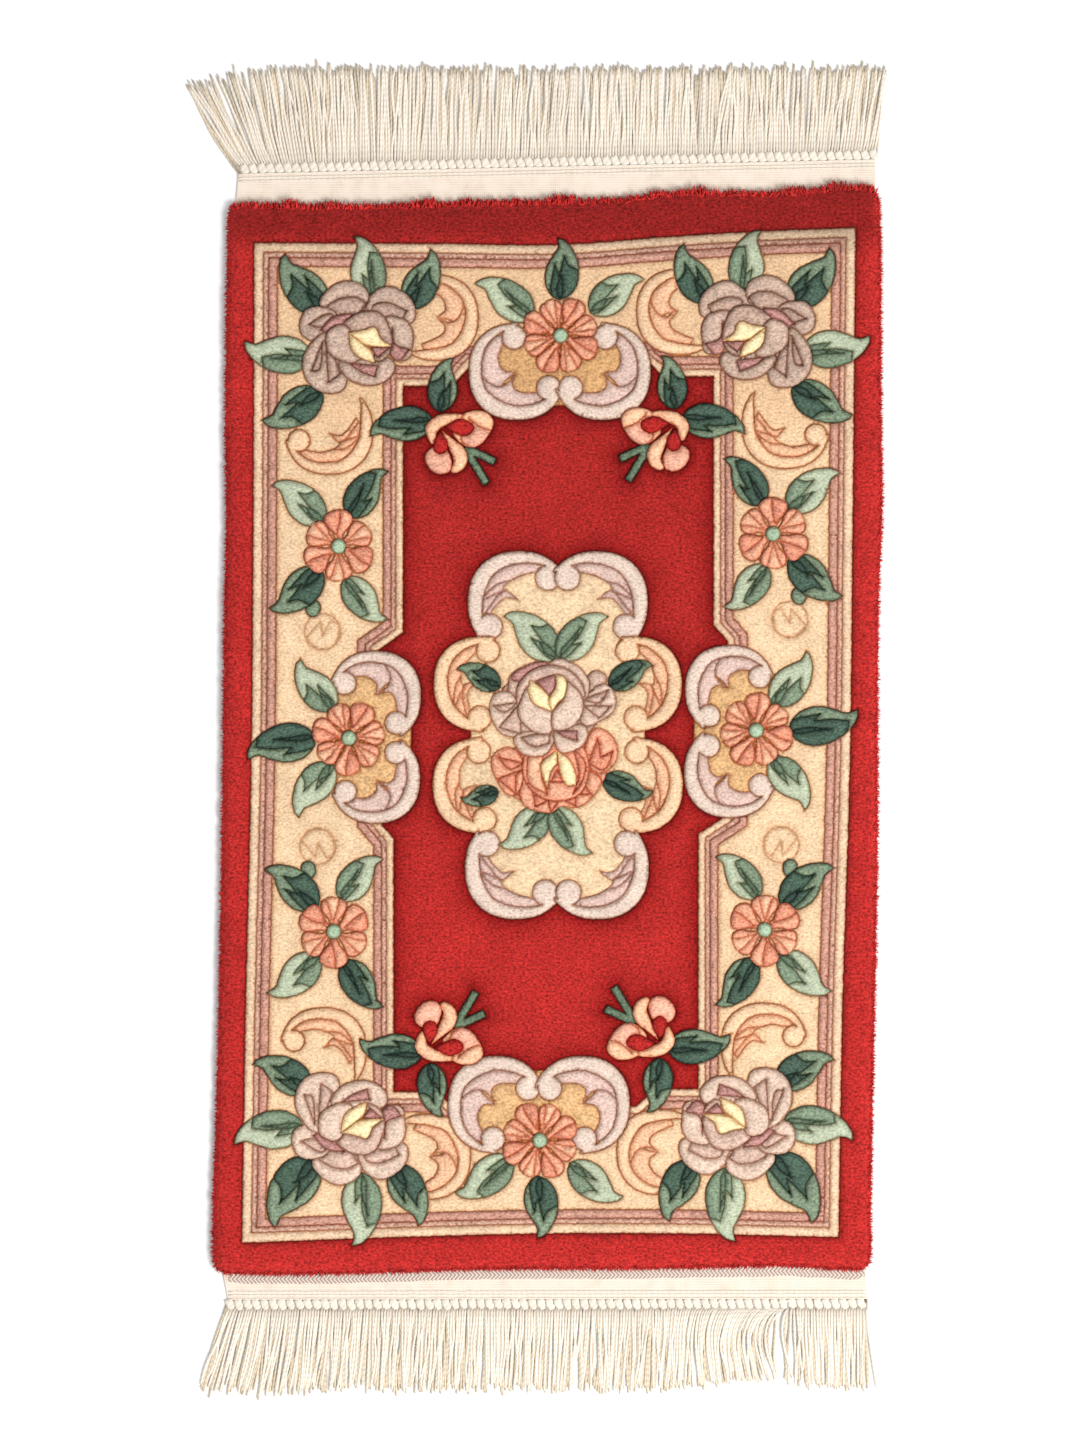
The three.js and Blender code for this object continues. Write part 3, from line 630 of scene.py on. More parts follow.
mesher = {
    "offset": 1.7, "clear": 1.25, "apart": 1.5, "grid": 3.1, "gridRows": 0.87,
    "gridClear": 2.5, "gridShift": 0.7, "across": (-352, 346), "along": (-562, 576), "merge": 1e-5,
}


def normalsOf(loop):
    along = np.roll(loop, -1, axis=0) - np.roll(loop, 1, axis=0)
    along /= np.maximum(tiny, np.hypot(along[:, 0], along[:, 1]))[:, None]
    return np.stack([-along[:, 1], along[:, 0]], axis=1)


def treeOf(points):
    tree = KDTree(len(points))
    for i, p in enumerate(points):
        tree.insert((p[0], p[1], 0), i)
    tree.balance()
    return tree


outlinePoints = np.vstack([cell["loop"] for cell in cells])
outlineTree = treeOf(outlinePoints)
starts = np.cumsum([0] + [len(cell["loop"]) for cell in cells])
faceLoops = [list(range(starts[i], starts[i + 1])) for i in range(len(cells))]

beside = np.vstack([
    cell["loop"] + side * mesher["offset"] * normalsOf(cell["loop"]) for cell in cells for side in (-1, 1)
])
gridX = np.arange(*mesher["across"], mesher["grid"])
gridY = np.arange(*mesher["along"], mesher["grid"] * mesher["gridRows"])
lattice = np.array([(x + (row % 2) * mesher["grid"] / 2, y) for row, y in enumerate(gridY) for x in gridX])
lattice += rng.uniform(-mesher["gridShift"], mesher["gridShift"], lattice.shape)
extra = []
taken = set()
for candidates, clear, apart in (
    (beside, mesher["clear"], mesher["apart"]),
    (lattice, mesher["gridClear"], mesher["apart"]),
):
    for p in candidates:
        if outlineTree.find((p[0], p[1], 0))[2] < clear:
            continue
        box = (math.floor(p[0] / apart), math.floor(p[1] / apart))
        if any((box[0] + i, box[1] + j) in taken for i in (-1, 0, 1) for j in (-1, 0, 1) if i * j == 0):
            continue
        taken.add(box)
        extra.append(p)
print("surface points:", len(outlinePoints), "+", len(extra))

allPoints = [tuple(p) for p in np.vstack([outlinePoints, np.array(extra)])]
flat = delaunay_2d_cdt(allPoints, [], faceLoops, 1, mesher["merge"], True)
flatVerts = np.array([tuple(v) for v in flat[0]])
triangles = np.array([list(f) for f in flat[2] if len(f) == 3])
covers = [ids for f, ids in zip(flat[2], flat[5]) if len(f) == 3]


def topCell(ids):
    for i in sorted(ids, reverse=True):
        parent = cells[i]["within"]
        while parent is not None and parent in ids:
            parent = cells[parent]["within"]
        if parent is None:
            return i
    return -1


cellOf = np.array([topCell(ids) for ids in covers])
keep = cellOf >= 0
triangles, cellOf = triangles[keep], cellOf[keep]
a, b, c = (flatVerts[triangles[:, k]] for k in range(3))
area = (b[:, 0] - a[:, 0]) * (c[:, 1] - a[:, 1]) - (b[:, 1] - a[:, 1]) * (c[:, 0] - a[:, 0])
triangles[area < 0] = triangles[area < 0][:, ::-1]
print("surface triangles:", len(triangles))

# Carved lines run wherever two cells of different groups meet
groups = {}
groupOf = np.array([groups.setdefault(cell["group"], len(groups)) for cell in cells])
cellTop = np.array([cell["top"] for cell in cells])
cellRun = np.array([cell["run"] for cell in cells])
cellLine = np.array([cell["line"] for cell in cells])
cellGround = np.array([cell["ground"] for cell in cells])
cellYarn = np.array([cell["yarn"] for cell in cells])

edges = np.sort(np.vstack([triangles[:, [0, 1]], triangles[:, [1, 2]], triangles[:, [2, 0]]]), axis=1)
edgeTriangle = np.tile(np.arange(len(triangles)), 3)
order = np.lexsort((edges[:, 1], edges[:, 0]))
edges, edgeTriangle = edges[order], edgeTriangle[order]
same = np.all(edges[1:] == edges[:-1], axis=1)
pairs = np.nonzero(same)[0]
first, second = cellOf[edgeTriangle[pairs]], cellOf[edgeTriangle[pairs + 1]]
carved = groupOf[first] != groupOf[second]
grooveEdges = edges[pairs[carved]]
grooveLines = cellLine[np.maximum(first, second)[carved]]
lonely = np.ones(len(edges), bool)
lonely[pairs] = False
lonely[pairs + 1] = False
rimEdges = edges[lonely]

vertexCount = len(flatVerts)
lowTop = np.full(vertexCount, max(heights.values()))
runAt = np.zeros(vertexCount)
groundAt = np.zeros(vertexCount)
for k in range(3):
    np.minimum.at(lowTop, triangles[:, k], cellTop[cellOf])
    np.maximum.at(runAt, triangles[:, k], cellRun[cellOf])
    np.maximum.at(groundAt, triangles[:, k], cellGround[cellOf])
lineAt = np.zeros(vertexCount)
for k in range(2):
    np.maximum.at(lineAt, grooveEdges[:, k], grooveLines)

edgeHeight = heights["floor"] + (lowTop - heights["floor"]) * (1 - lineAt)
seeds = np.vstack([flatVerts[grooveEdges.ravel()], flatVerts[grooveEdges].mean(axis=1)])
seedLine = np.concatenate([np.repeat(grooveLines, 2), grooveLines])
seedHeight = np.concatenate([edgeHeight[grooveEdges.ravel()], edgeHeight[grooveEdges].mean(axis=1)])
grooveTree = treeOf(seeds)
rimTree = treeOf(np.vstack([flatVerts[rimEdges.ravel()], flatVerts[rimEdges].mean(axis=1)]))

relief = {"shoulder": 2.2, "rimDrop": 6.5, "rimRun": 15, "rimPower": 2.4, "rough": 0.22, "roughClear": 3}
# Painted shade along the carved lines fades out over this run
grooveShadeFade = {"run": 1.9, "power": 1.2}
# Painted soft shade beside the carved lines reaches this far on the red field, on other grounds and on motifs
softShadeReach = {"field": 10.0, "ground": 6.0, "motif": 3.0}
motifSoftShade = 0.5
topGroundShade = {"share": 0.4, "from": 280, "over": 60}  # painted shade: the ground is darker towards the top end
# Painted shade towards the top end, over the top rim and up the red field
rimTopShade = {"from": 505, "over": 30, "rimRun": 9, "rimShare": 0.25}
fieldTopShade = {"share": 0.42, "from": -200, "over": 550}
found = [grooveTree.find((p[0], p[1], 0)) for p in flatVerts]
grooveDistance = np.array([f[2] for f in found])
nearest = np.array([f[1] for f in found])
rimDistance = np.array([rimTree.find((p[0], p[1], 0))[2] for p in flatVerts])
rise = np.clip(grooveDistance / np.maximum(runAt, tiny), 0, 1)
rise = 1 - (1 - rise) ** relief["shoulder"]
level = seedHeight[nearest] + (lowTop - seedHeight[nearest]) * rise
level = np.where(lineAt > 0, edgeHeight, level)
fall = np.clip(1 - rimDistance / relief["rimRun"], 0, 1)
level = level - relief["rimDrop"] * fall ** relief["rimPower"]
roughness = rng.uniform(-relief["rough"], relief["rough"], vertexCount)
level += roughness * np.clip(grooveDistance / relief["roughClear"], 0, 1)

# Painted shade in the carved lines, fading out beside them
grooveShade = seedLine[nearest] * np.clip(1 - grooveDistance / grooveShadeFade["run"], 0, 1) ** grooveShadeFade["power"]
grooveShade = np.where(lineAt > 0, lineAt, grooveShade)
y = flatVerts[:, 1]
onGround = groundAt > 0
onField = groundAt == groundShade["field"]
# Painted soft shade beside the carved lines, and on the ground towards the top end
reachOf = np.where(onField, softShadeReach["field"], np.where(onGround, softShadeReach["ground"], softShadeReach["motif"]))
softShade = np.where(onGround, groundAt, motifSoftShade) * np.exp(-grooveDistance / reachOf)
towardsTop = topGroundShade["share"] * np.clip((y - topGroundShade["from"]) / topGroundShade["over"], 0, 1)
softShade = np.maximum(softShade, np.where(onGround & ~onField, towardsTop, 0))
# Painted shade: the pile leans away from the light at the top end, and the red is painted darker there and up
# the field
topEndShade = np.clip((y - rimTopShade["from"]) / rimTopShade["over"], 0, 1)
topEndShade = topEndShade * np.clip(rimDistance / rimTopShade["rimRun"], rimTopShade["rimShare"], 1)
fieldShading = fieldTopShade["share"] * np.clip((y - fieldTopShade["from"]) / fieldTopShade["over"], 0, 1)
topEndShade = np.maximum(topEndShade, np.where(onField, fieldShading, 0))
# The painted shade, per vertex: in the carved lines, softly beside them, and towards the top end
shadeMarks = np.stack([grooveShade, np.clip(softShade, 0, 1), topEndShade, np.ones(vertexCount)], axis=1)
print("carved lines:", len(grooveEdges))

# Dyed wool, cut pile: a deep matt velvet with speckled tips, with painted shade in and beside the carved
# lines and towards the top end
wool, tree = newMaterial("dyed_wool_cut_and_carved_pile")
coords = addNode(tree, "ShaderNodeTexCoord")
laid = addNode(tree, "ShaderNodeMapping", {"Scale": (0.75, 1, 1)}, {"Vector": coords.outputs["Object"]})
tips = addNode(tree, "ShaderNodeTexNoise", {"Scale": 1 / (2.3 * mm), "Detail": 2, "Roughness": 0.6},
               {"Vector": laid.outputs[0]})  # yarn ends, drawn at 2.3 mm so that they show
patches = addNode(tree, "ShaderNodeTexNoise", {"Scale": 1 / (26 * mm), "Detail": 5, "Roughness": 0.7},
                  {"Vector": coords.outputs["Object"]})
yarn = addNode(tree, "ShaderNodeAttribute", {"attribute_name": "yarn"})
shadeMarksNode = addNode(tree, "ShaderNodeAttribute", {"attribute_name": "shadeMarks"})
marks = addNode(tree, "ShaderNodeSeparateColor", {}, {0: shadeMarksNode.outputs["Color"]})
dye = addNode(tree, "ShaderNodeSeparateColor", {}, {0: yarn.outputs["Color"]})
contrast = addNode(tree, "ShaderNodeMapRange", {1: 0, 2: 0.6, 3: 1.6, 4: 0.75}, {0: dye.outputs[1]})
tipShade = addNode(tree, "ShaderNodeMapRange", {1: 0.28, 2: 0.72, 3: -0.4, 4: 0.4}, {0: tips.outputs[0]})
speckle = addNode(tree, "ShaderNodeMath", {"operation": "MULTIPLY_ADD", 2: 1},
                  {0: tipShade.outputs[0], 1: contrast.outputs[0]})  # dark dyes show their tips more
uneven = addNode(tree, "ShaderNodeMapRange", {1: 0.3, 2: 0.7, 3: 0.86, 4: 1.12}, {0: patches.outputs[0]})
# painted shade towards the top end
topShadeFactor = addNode(tree, "ShaderNodeMapRange", {1: 0, 2: 1, 3: 1, 4: 0.6}, {0: marks.outputs[2]})
lightness = addNode(tree, "ShaderNodeMath", {"operation": "MULTIPLY"},
                    {0: speckle.outputs[0], 1: uneven.outputs[0]})
topShadedLightness = addNode(tree, "ShaderNodeMath", {"operation": "MULTIPLY"},
                   {0: lightness.outputs[0], 1: topShadeFactor.outputs[0]})
dyed = addNode(tree, "ShaderNodeVectorMath", {"operation": "SCALE"},
               {0: yarn.outputs["Color"], "Scale": topShadedLightness.outputs[0]})
shadeColour = addNode(tree, "ShaderNodeVectorMath", {"operation": "MULTIPLY"},
                  {0: dyed.outputs[0], 1: yarn.outputs["Color"]})  # the colour of painted shade: light deep in the pile is dyed twice
# painted shade in the carved lines: darker and warmer still
deep = addNode(tree, "ShaderNodeVectorMath", {"operation": "MULTIPLY", 1: (0.56, 0.42, 0.37)},
               {0: shadeColour.outputs[0]})
# painted soft shade beside the carved lines
softShadeColour = addNode(tree, "ShaderNodeVectorMath", {"operation": "SCALE", "Scale": 0.85},
                   {0: shadeColour.outputs[0]})
softShadeShare = addNode(tree, "ShaderNodeMath", {"operation": "MULTIPLY", 1: 0.85}, {0: marks.outputs[1]})
shaded = addNode(tree, "ShaderNodeMix", {"data_type": "RGBA"},
                 {0: softShadeShare.outputs[0], 6: dyed.outputs[0], 7: softShadeColour.outputs[0]})
# the painted shade of the carved lines laid over the rest
grooveShaded = addNode(tree, "ShaderNodeMix", {"data_type": "RGBA"},
                  {0: marks.outputs[0], 6: shaded.outputs[2], 7: deep.outputs[0]})
addSurface(tree, grooveShaded.outputs[2], tips.outputs[0], {"Strength": 0.55, "Distance": 0.9 * mm},
           {"Roughness": 1, "Specular IOR Level": 0.05, "Sheen Weight": 0.05, "Sheen Roughness": 0.6})

# The map that the colours are baked to: seen from above, with a strip left free for the underside
bakeMap = {"grow": 1.06, "across": 0.05, "along": 0.01, "under": 0.02, "underLong": 0.9}


# Each piece's edges go down to the woven back and its underside is filled, so that it is a closed body
def closePile(mesh):
    bm = bmesh.new()
    bm.from_mesh(mesh)
    yarnLayer = bm.loops.layers.float_color["yarn"]
    shadeMarksLayer = bm.verts.layers.float_color["shadeMarks"]
    uvLayer = bm.loops.layers.uv.new("OFBake")
    low = np.min([v.co[:] for v in bm.verts], axis=0)
    span = max(np.max([v.co[:] for v in bm.verts], axis=0) - low) * bakeMap["grow"]
    for f in bm.faces:
        for corner in f.loops:
            across = (corner.vert.co.x - low[0]) / span + bakeMap["across"]
            corner[uvLayer].uv = (across, (corner.vert.co.y - low[1]) / span + bakeMap["along"])
    edge = [e for e in bm.edges if e.is_boundary]
    for e in edge:
        e.smooth = False
    grown = bmesh.ops.extrude_edge_only(bm, edges=edge)["geom"]
    walls = set(f for f in grown if isinstance(f, bmesh.types.BMFace))
    foot = set(v for v in grown if isinstance(v, bmesh.types.BMVert))
    for v in foot:
        v.co.z = heights["web"] * mm
        # full painted shade at the foot of each wall
        v[shadeMarksLayer] = (1, 1, 0, 1)
    for f in walls:
        f.smooth = False
        over = next(o for e in f.edges for o in e.link_faces if o not in walls)
        for corner in f.loops:
            corner[yarnLayer] = over.loops[0][yarnLayer]
            corner[uvLayer].uv = over.loops[0][uvLayer].uv
    grownEdges = [e for e in grown if isinstance(e, bmesh.types.BMEdge)]
    rings = [e for e in grownEdges if all(v in foot for v in e.verts)]
    under = bmesh.ops.triangle_fill(bm, use_beauty=False, edges=rings, normal=(0, 0, -1))["geom"]
    for f in under:
        if isinstance(f, bmesh.types.BMFace):
            f.smooth = False
            for corner in f.loops:
                corner[yarnLayer] = (*linear(yarns["cream"]), 1)
                along = bakeMap["under"] + bakeMap["underLong"] * (corner.vert.co.y - low[1]) / span
                corner[uvLayer].uv = (bakeMap["under"], along)
    bmesh.ops.recalc_face_normals(bm, faces=bm.faces[:])
    bm.to_mesh(mesh)
    bm.free()


def pilePiece(name, chosen):
    faces = triangles[chosen]
    used, local = np.unique(faces, return_inverse=True)
    verts = np.column_stack([flatVerts[used], level[used]]) * mm
    mesh = bpy.data.meshes.new(name)
    mesh.from_pydata(verts.tolist(), [], local.reshape(-1, 3).tolist())
    colours = np.column_stack([cellYarn[cellOf[chosen]], np.ones(len(faces))])
    setColours(mesh, "yarn", "CORNER", np.repeat(colours, 3, axis=0))
    setColours(mesh, "shadeMarks", "POINT", shadeMarks[used])
    mesh.polygons.foreach_set("use_smooth", np.ones(len(mesh.polygons), bool))
    closePile(mesh)
    return addPiece(name, mesh, wool, "rug_body")


pieceOf = np.array([cell["piece"] for cell in cells])[cellOf]
for name in sorted(set(pieceOf)):
    pilePiece(name, pieceOf == name)
    print(name, "triangles:", int(np.sum(pieceOf == name)))

# Loose tufts round the pile's edge: shaggy over the top web, short along the other edges

tufts = {
    "count": 9000, "short": (1.2, 4.2), "long": (2.5, 7), "height": (3.5, 11), "thin": 0.6, "full": 1.1,
    "buried": (1.5, 4), "root": 2.5, "stray": 0.45, "tilt": (-0.35, 0.25), "droop": 1.5,
    "shade": (0.85, 1.35), "apart": 1.0, "shaggyFrom": 0.6,
}
tuftClumps = [(3.2, 0.13, 0), (2.6, 0.047, 1)]  # the shaggy edge hangs in clumps: length, rate, phase
tuftRings = [(0, 1), (0.55, 0.85)]  # share of the length, share of the thickness
tuftTurns = (0, 2.1, 4.2)  # a tuft has three sides


def tuftPiece():
    loop = smoothLoop(pileLoop, tufts["apart"])
    outward = -normalsOf(loop)
    places = rng.integers(0, len(loop), tufts["count"])
    verts, faces, colours = [], [], []
    for i in places:
        out, base = outward[i], loop[i]
        shaggy = out[1] > tufts["shaggyFrom"]
        length = rng.uniform(*tufts["long" if shaggy else "short"])
        if shaggy:
            length += max(0, sum(tall * math.sin(base[0] * rate + phase) for tall, rate, phase in tuftClumps))
        length += tufts["root"]
        thickness = tufts["full" if shaggy else "thin"]
        along = np.array([*out, 0])
        along = along + np.array([*rng.normal(0, tufts["stray"], 2), rng.uniform(*tufts["tilt"])])
        along /= np.linalg.norm(along)
        side = np.cross(along, (0, 0, 1))
        side /= np.linalg.norm(side)
        rise = np.cross(side, along)
        start = np.array([*(base - out * rng.uniform(*tufts["buried"])), rng.uniform(*tufts["height"])])
        first = len(verts)
        for share, thick in tuftRings:
            middle = start + along * length * share
            middle[2] = max(heights["web"] + thickness, middle[2])  # none goes through the web
            for turn in tuftTurns:
                verts.append(middle + thickness * thick * (math.cos(turn) * side + math.sin(turn) * rise))
        tip = start + along * length
        tip[2] = max(heights["web"], tip[2] - tufts["droop"])
        verts.append(tip)
        for n in range(3):
            m = (n + 1) % 3
            faces.append((first + n, first + m, first + 3 + m, first + 3 + n))
            faces.append((first + 3 + n, first + 3 + m, first + 6))
        faces.append((first + 2, first + 1, first))
        colours.append(rng.uniform(*tufts["shade"]))
    mesh = bpy.data.meshes.new("pile_edge_tufts")
    mesh.from_pydata((np.array(verts) * mm).tolist(), [], faces)
    red = np.array(linear(yarns["red"]))
    cornersEach = 3 * 4 + 3 * 3 + 3  # three sides, three faces at the tip and one at the root
    dyed = [[*(red * shade), 1] for shade in colours]
    setColours(mesh, "yarn", "CORNER", np.repeat(dyed, cornersEach, axis=0))
    # no painted shade on the tufts
    setColours(mesh, "shadeMarks", "POINT", np.tile((0.0, 0.0, 0.0, 1.0), (len(verts), 1)))
    mesh.update()
    return addPiece("pile_edge_tufts", mesh, wool, "rug_body")


tuftObject = tuftPiece()
print("tufts:", tufts["count"])

waveUnit = 0.314  # a wave texture's scale is this over its pitch

# Undyed cotton, plain woven canvas: pale and matt, with fine ribs across the warp
canvas, tree = newMaterial("undyed_cotton_woven_canvas")
coords = addNode(tree, "ShaderNodeTexCoord")
ribs = addNode(tree, "ShaderNodeTexWave",
               {"bands_direction": "Y", "Scale": waveUnit / (2.6 * mm), "Distortion": 1.2, "Detail": 2},
               {"Vector": coords.outputs["Object"]})  # weft, drawn at 2.6 mm so that it shows
warp = addNode(tree, "ShaderNodeTexWave",
               {"bands_direction": "X", "Scale": waveUnit / (2.2 * mm), "Distortion": 0.6},
               {"Vector": coords.outputs["Object"]})
weave = addNode(tree, "ShaderNodeMath", {"operation": "MULTIPLY_ADD", 1: 0.45},
                {0: warp.outputs[1], 2: ribs.outputs[1]})
soil = addNode(tree, "ShaderNodeTexNoise", {"Scale": 1 / (14 * mm), "Detail": 3},
               {"Vector": coords.outputs["Object"]})
tone = addNode(tree, "ShaderNodeMath", {"operation": "MULTIPLY_ADD", 1: 0.35},
               {0: weave.outputs[0], 2: soil.outputs[0]})
undyed = addRamp(tree, tone.outputs[0], (0.35, "D6C2AF"), (0.8, "E9DACA"))
addSurface(tree, undyed, weave.outputs[0], {"Strength": 0.35, "Distance": 0.5 * mm},
           {"Roughness": 0.9, "Specular IOR Level": 0.2})

# Cotton twill tape: a greyish herringbone that shows as small slanting stitches
twill, tree = newMaterial("cotton_herringbone_twill")
coords = addNode(tree, "ShaderNodeTexCoord")
axes = addNode(tree, "ShaderNodeSeparateXYZ", {}, {0: coords.outputs["Object"]})
slant = addNode(tree, "ShaderNodeMath", {"operation": "PINGPONG", 1: 4.3 * mm}, {0: axes.outputs[1]})
stitch = addNode(tree, "ShaderNodeMath", {"operation": "ADD"}, {0: axes.outputs[0], 1: slant.outputs[0]})
stitchPlace = addNode(tree, "ShaderNodeCombineXYZ", {}, {0: stitch.outputs[0]})
stitches = addNode(tree, "ShaderNodeTexWave",
                   {"bands_direction": "X", "Scale": waveUnit / (4.2 * mm), "Distortion": 0.8},
                   {"Vector": stitchPlace.outputs[0]})  # drawn at 4.2 mm so that they show
greyish = addRamp(tree, stitches.outputs[1], (0.15, "9A8A80"), (0.75, "DECDC0"))
addSurface(tree, greyish, stitches.outputs[1], {"Strength": 0.4, "Distance": 0.5 * mm},
           {"Roughness": 0.9, "Specular IOR Level": 0.2})

# Undyed cotton, plied cord: soft off-white yarn, twisted, with painted shade where it lies under others
cotton, tree = newMaterial("undyed_cotton_plied_cord")
coords = addNode(tree, "ShaderNodeTexCoord")
plies = addNode(tree, "ShaderNodeTexWave", {"bands_direction": "DIAGONAL", "Scale": 1.257, "Distortion": 0.4},
                {"Vector": coords.outputs["UV"]})  # two plies to each turn of the cord
cordTone = addNode(tree, "ShaderNodeAttribute", {"attribute_name": "tone"})
plyShade = addNode(tree, "ShaderNodeMapRange", {3: 0.9, 4: 1.0}, {0: plies.outputs[1]})
corded = addNode(tree, "ShaderNodeVectorMath", {"operation": "SCALE"},
                 {0: cordTone.outputs["Color"], "Scale": plyShade.outputs[0]})
addSurface(tree, corded.outputs[0], plies.outputs[1], {"Strength": 0.5, "Distance": 0.4 * mm},
           {"Roughness": 0.85, "Specular IOR Level": 0.2, "Sheen Weight": 0.1})

# Woven foundation: one thin cloth under the whole pile that runs out as a web at each end
webs = {
    "top": {"left": -330, "right": 343, "leftEdge": 595, "rightEdge": 610, "out": 1},
    "bottom": {"left": -341, "right": 334, "leftEdge": -594, "rightEdge": -593, "out": -1},
}
cloth = {"thick": 2.4, "inside": 6, "bevel": 0.8}


def foundationPiece():
    top, bottom = webs["top"], webs["bottom"]
    left = [(x + cloth["inside"], y) for y, x, right in pileEdge["sides"]]
    right = [(x - cloth["inside"], y) for y, other, x in reversed(pileEdge["sides"])]
    loop = [(top["left"], top["leftEdge"]), *left, (bottom["left"], bottom["leftEdge"]),
            (bottom["right"], bottom["rightEdge"]), *right, (top["right"], top["rightEdge"])]
    bm = bmesh.new()
    under = bm.faces.new([bm.verts.new((x * mm, y * mm, 0)) for x, y in loop])
    raised = bmesh.ops.extrude_face_region(bm, geom=[under])["geom"]
    upper = [v for v in raised if isinstance(v, bmesh.types.BMVert)]
    bmesh.ops.translate(bm, verts=upper, vec=(0, 0, cloth["thick"] * mm))
    shoulder = [e for e in bm.edges if all(v in upper for v in e.verts)]
    bmesh.ops.bevel(bm, geom=shoulder, offset=cloth["bevel"] * mm, offset_type="OFFSET", affect="EDGES",
                    segments=2, profile=0.5, material=-1)
    bmesh.ops.recalc_face_normals(bm, faces=bm.faces[:])
    mesh = bpy.data.meshes.new("woven_foundation")
    bm.to_mesh(mesh)
    bm.free()
    return addPiece("woven_foundation", mesh, canvas, "rug_body")


foundation = foundationPiece()

tape = {"left": -340, "right": 331, "inside": 8, "wide": 18.5, "thick": 0.7, "steps": 90, "fray": 0.6}


# The herringbone strip shows below the pile's bottom edge only
def tapePiece():
    xs = np.linspace(tape["left"], tape["right"], tape["steps"])
    topLeft, bottomLeft, bottomRight, topRight = pileEdge["corners"]
    ends = [bottomLeft, *[(x, bottom) for x, top, bottom in pileEdge["ends"]], bottomRight]
    ys = np.interp(xs, [p[0] for p in ends], [p[1] for p in ends]) + tape["inside"]
    bm = bmesh.new()
    inner = [bm.verts.new((x * mm, y * mm, cloth["thick"] * mm)) for x, y in zip(xs, ys)]
    strip = [bm.edges.new(pair) for pair in zip(inner, inner[1:])]
    grown = bmesh.ops.extrude_edge_only(bm, edges=strip)["geom"]
    outer = [v for v in grown if isinstance(v, bmesh.types.BMVert)]
    bmesh.ops.translate(bm, verts=outer, vec=(0, -tape["wide"] * mm, 0))
    for v in sorted(outer, key=lambda v: v.co.x):
        v.co.y += rng.uniform(-tape["fray"], tape["fray"]) * mm
    bmesh.ops.solidify(bm, geom=bm.faces[:], thickness=-tape["thick"] * mm)
    bmesh.ops.recalc_face_normals(bm, faces=bm.faces[:])
    mesh = bpy.data.meshes.new("herringbone_tape")
    bm.to_mesh(mesh)
    bm.free()
    return addPiece("herringbone_tape", mesh, twill, "rug_body")


tapeObject = tapePiece()
print("foundation and tape made")

# Fringe: knots pulled from the heading, and the cords that leave them
fringe = {
    "knots": 74, "cords": 8, "upper": 3, "thick": 2.8, "steps": 13, "sides": 7, "spread": 3.03, "turn": 12,
}
knot = {
    "root": -0.6, "tie": 10.4, "tieStray": 0.7, "slant": 4.14, "wide": 9.1, "thick": 2.2, "middle": 1.6,
    "arch": 0.2, "sides": 12, "tone": (0.86, 0.94),
}
knotWidths = np.array([1.0, 1.0, 1.0, 0.98, 0.94, 0.74])
knotHeights = np.array([0.95, 1, 1, 1.05, 1.2, 1.1])
cord = {  # the cords beneath start under the knots; a few cords stray far
    "middle": 1, "underMiddle": 5, "underPitch": 0.6, "underStray": 0.4, "tuck": 1.5, "tip": 3.2,
    "leanFrom": 5, "stray": 3, "farStray": 11, "farShare": 0.07, "leanPower": 1.25, "bow": 1.6,
    "bowPower": 0.7, "wave": 0.8, "waves": (1.5, 3), "phase": 6.3, "lift": (0.3, 1.7),
    "liftOver": 1.05, "liftPower": 0.7, "over": 0.3,
    "upperTone": (0.88, 1.0), "underTone": (0.85, 1.1), "upperShade": (0.82, 1), "underShade": (0.5, 2.2),
}
cordStart, cordTip = [0.8, 0.95], [0.96, 0.7]  # shares of the thickness at the first and last stations
cordLie = {  # x, line that the tips reach, how far the tips lean, how far the cords bow
    "top": [(-330, 688, -58, -4), (-308, 698, -36, -3), (-285, 704, -21, -2), (-245, 706, -8, 0),
            (-140, 704, 3, 0), (250, 704, 2, 0), (343, 705, 15, 1)],
    "bottom": [(-341, -689, -30, -2), (-300, -691, -16, 0), (-200, -687, -4, 0), (120, -687, -4, 0),
               (246, -674, -12, -11), (254, -682, 2, 0), (334, -686, 2, 0)],
}
# The deep tone is the pale cotton painted darker: painted shade on the cords that lie under others
cottonTones = {"pale": "F4E9DA", "deep": "DCCCB4"}
twined = {
    "thick": 0.9, "lines": (-1.2, -5.2, -8.6), "steps": 160, "inside": 1, "stray": 0.15, "sides": 6,
    "tone": 0.88, "above": 0.1,
}


# One tube along a path, with its own width and height at each station
def tube(path, wide, high, sides):
    along = np.gradient(path, axis=0)
    along /= np.linalg.norm(along, axis=1)[:, None]
    side = np.cross(along, (0, 0, 1))
    side /= np.linalg.norm(side, axis=1)[:, None]
    rise = np.cross(side, along)
    turns = np.arange(sides) * 2 * math.pi / sides
    verts = (path[:, None] + np.cos(turns)[None, :, None] * side[:, None] * wide[:, None, None]
             + np.sin(turns)[None, :, None] * rise[:, None] * high[:, None, None]).reshape(-1, 3)
    count = len(path)
    lengths = np.concatenate([[0], np.cumsum(np.linalg.norm(np.diff(path, axis=0), axis=1))])
    faces, maps = [], []
    for i in range(count - 1):
        v0, v1 = lengths[i] / fringe["turn"], lengths[i + 1] / fringe["turn"]
        for n in range(sides):
            here, beside = i * sides + n, i * sides + (n + 1) % sides
            faces.append((here, beside, beside + sides, here + sides))
            u0, u1 = n / sides, (n + 1) / sides
            maps += [(u0, v0), (u1, v0), (u1, v1), (u0, v1)]
    faces.append(tuple(range(sides))[::-1])
    faces.append(tuple((count - 1) * sides + n for n in range(sides)))
    maps += [(0.5, 0.0)] * sides * 2
    return verts, faces, maps


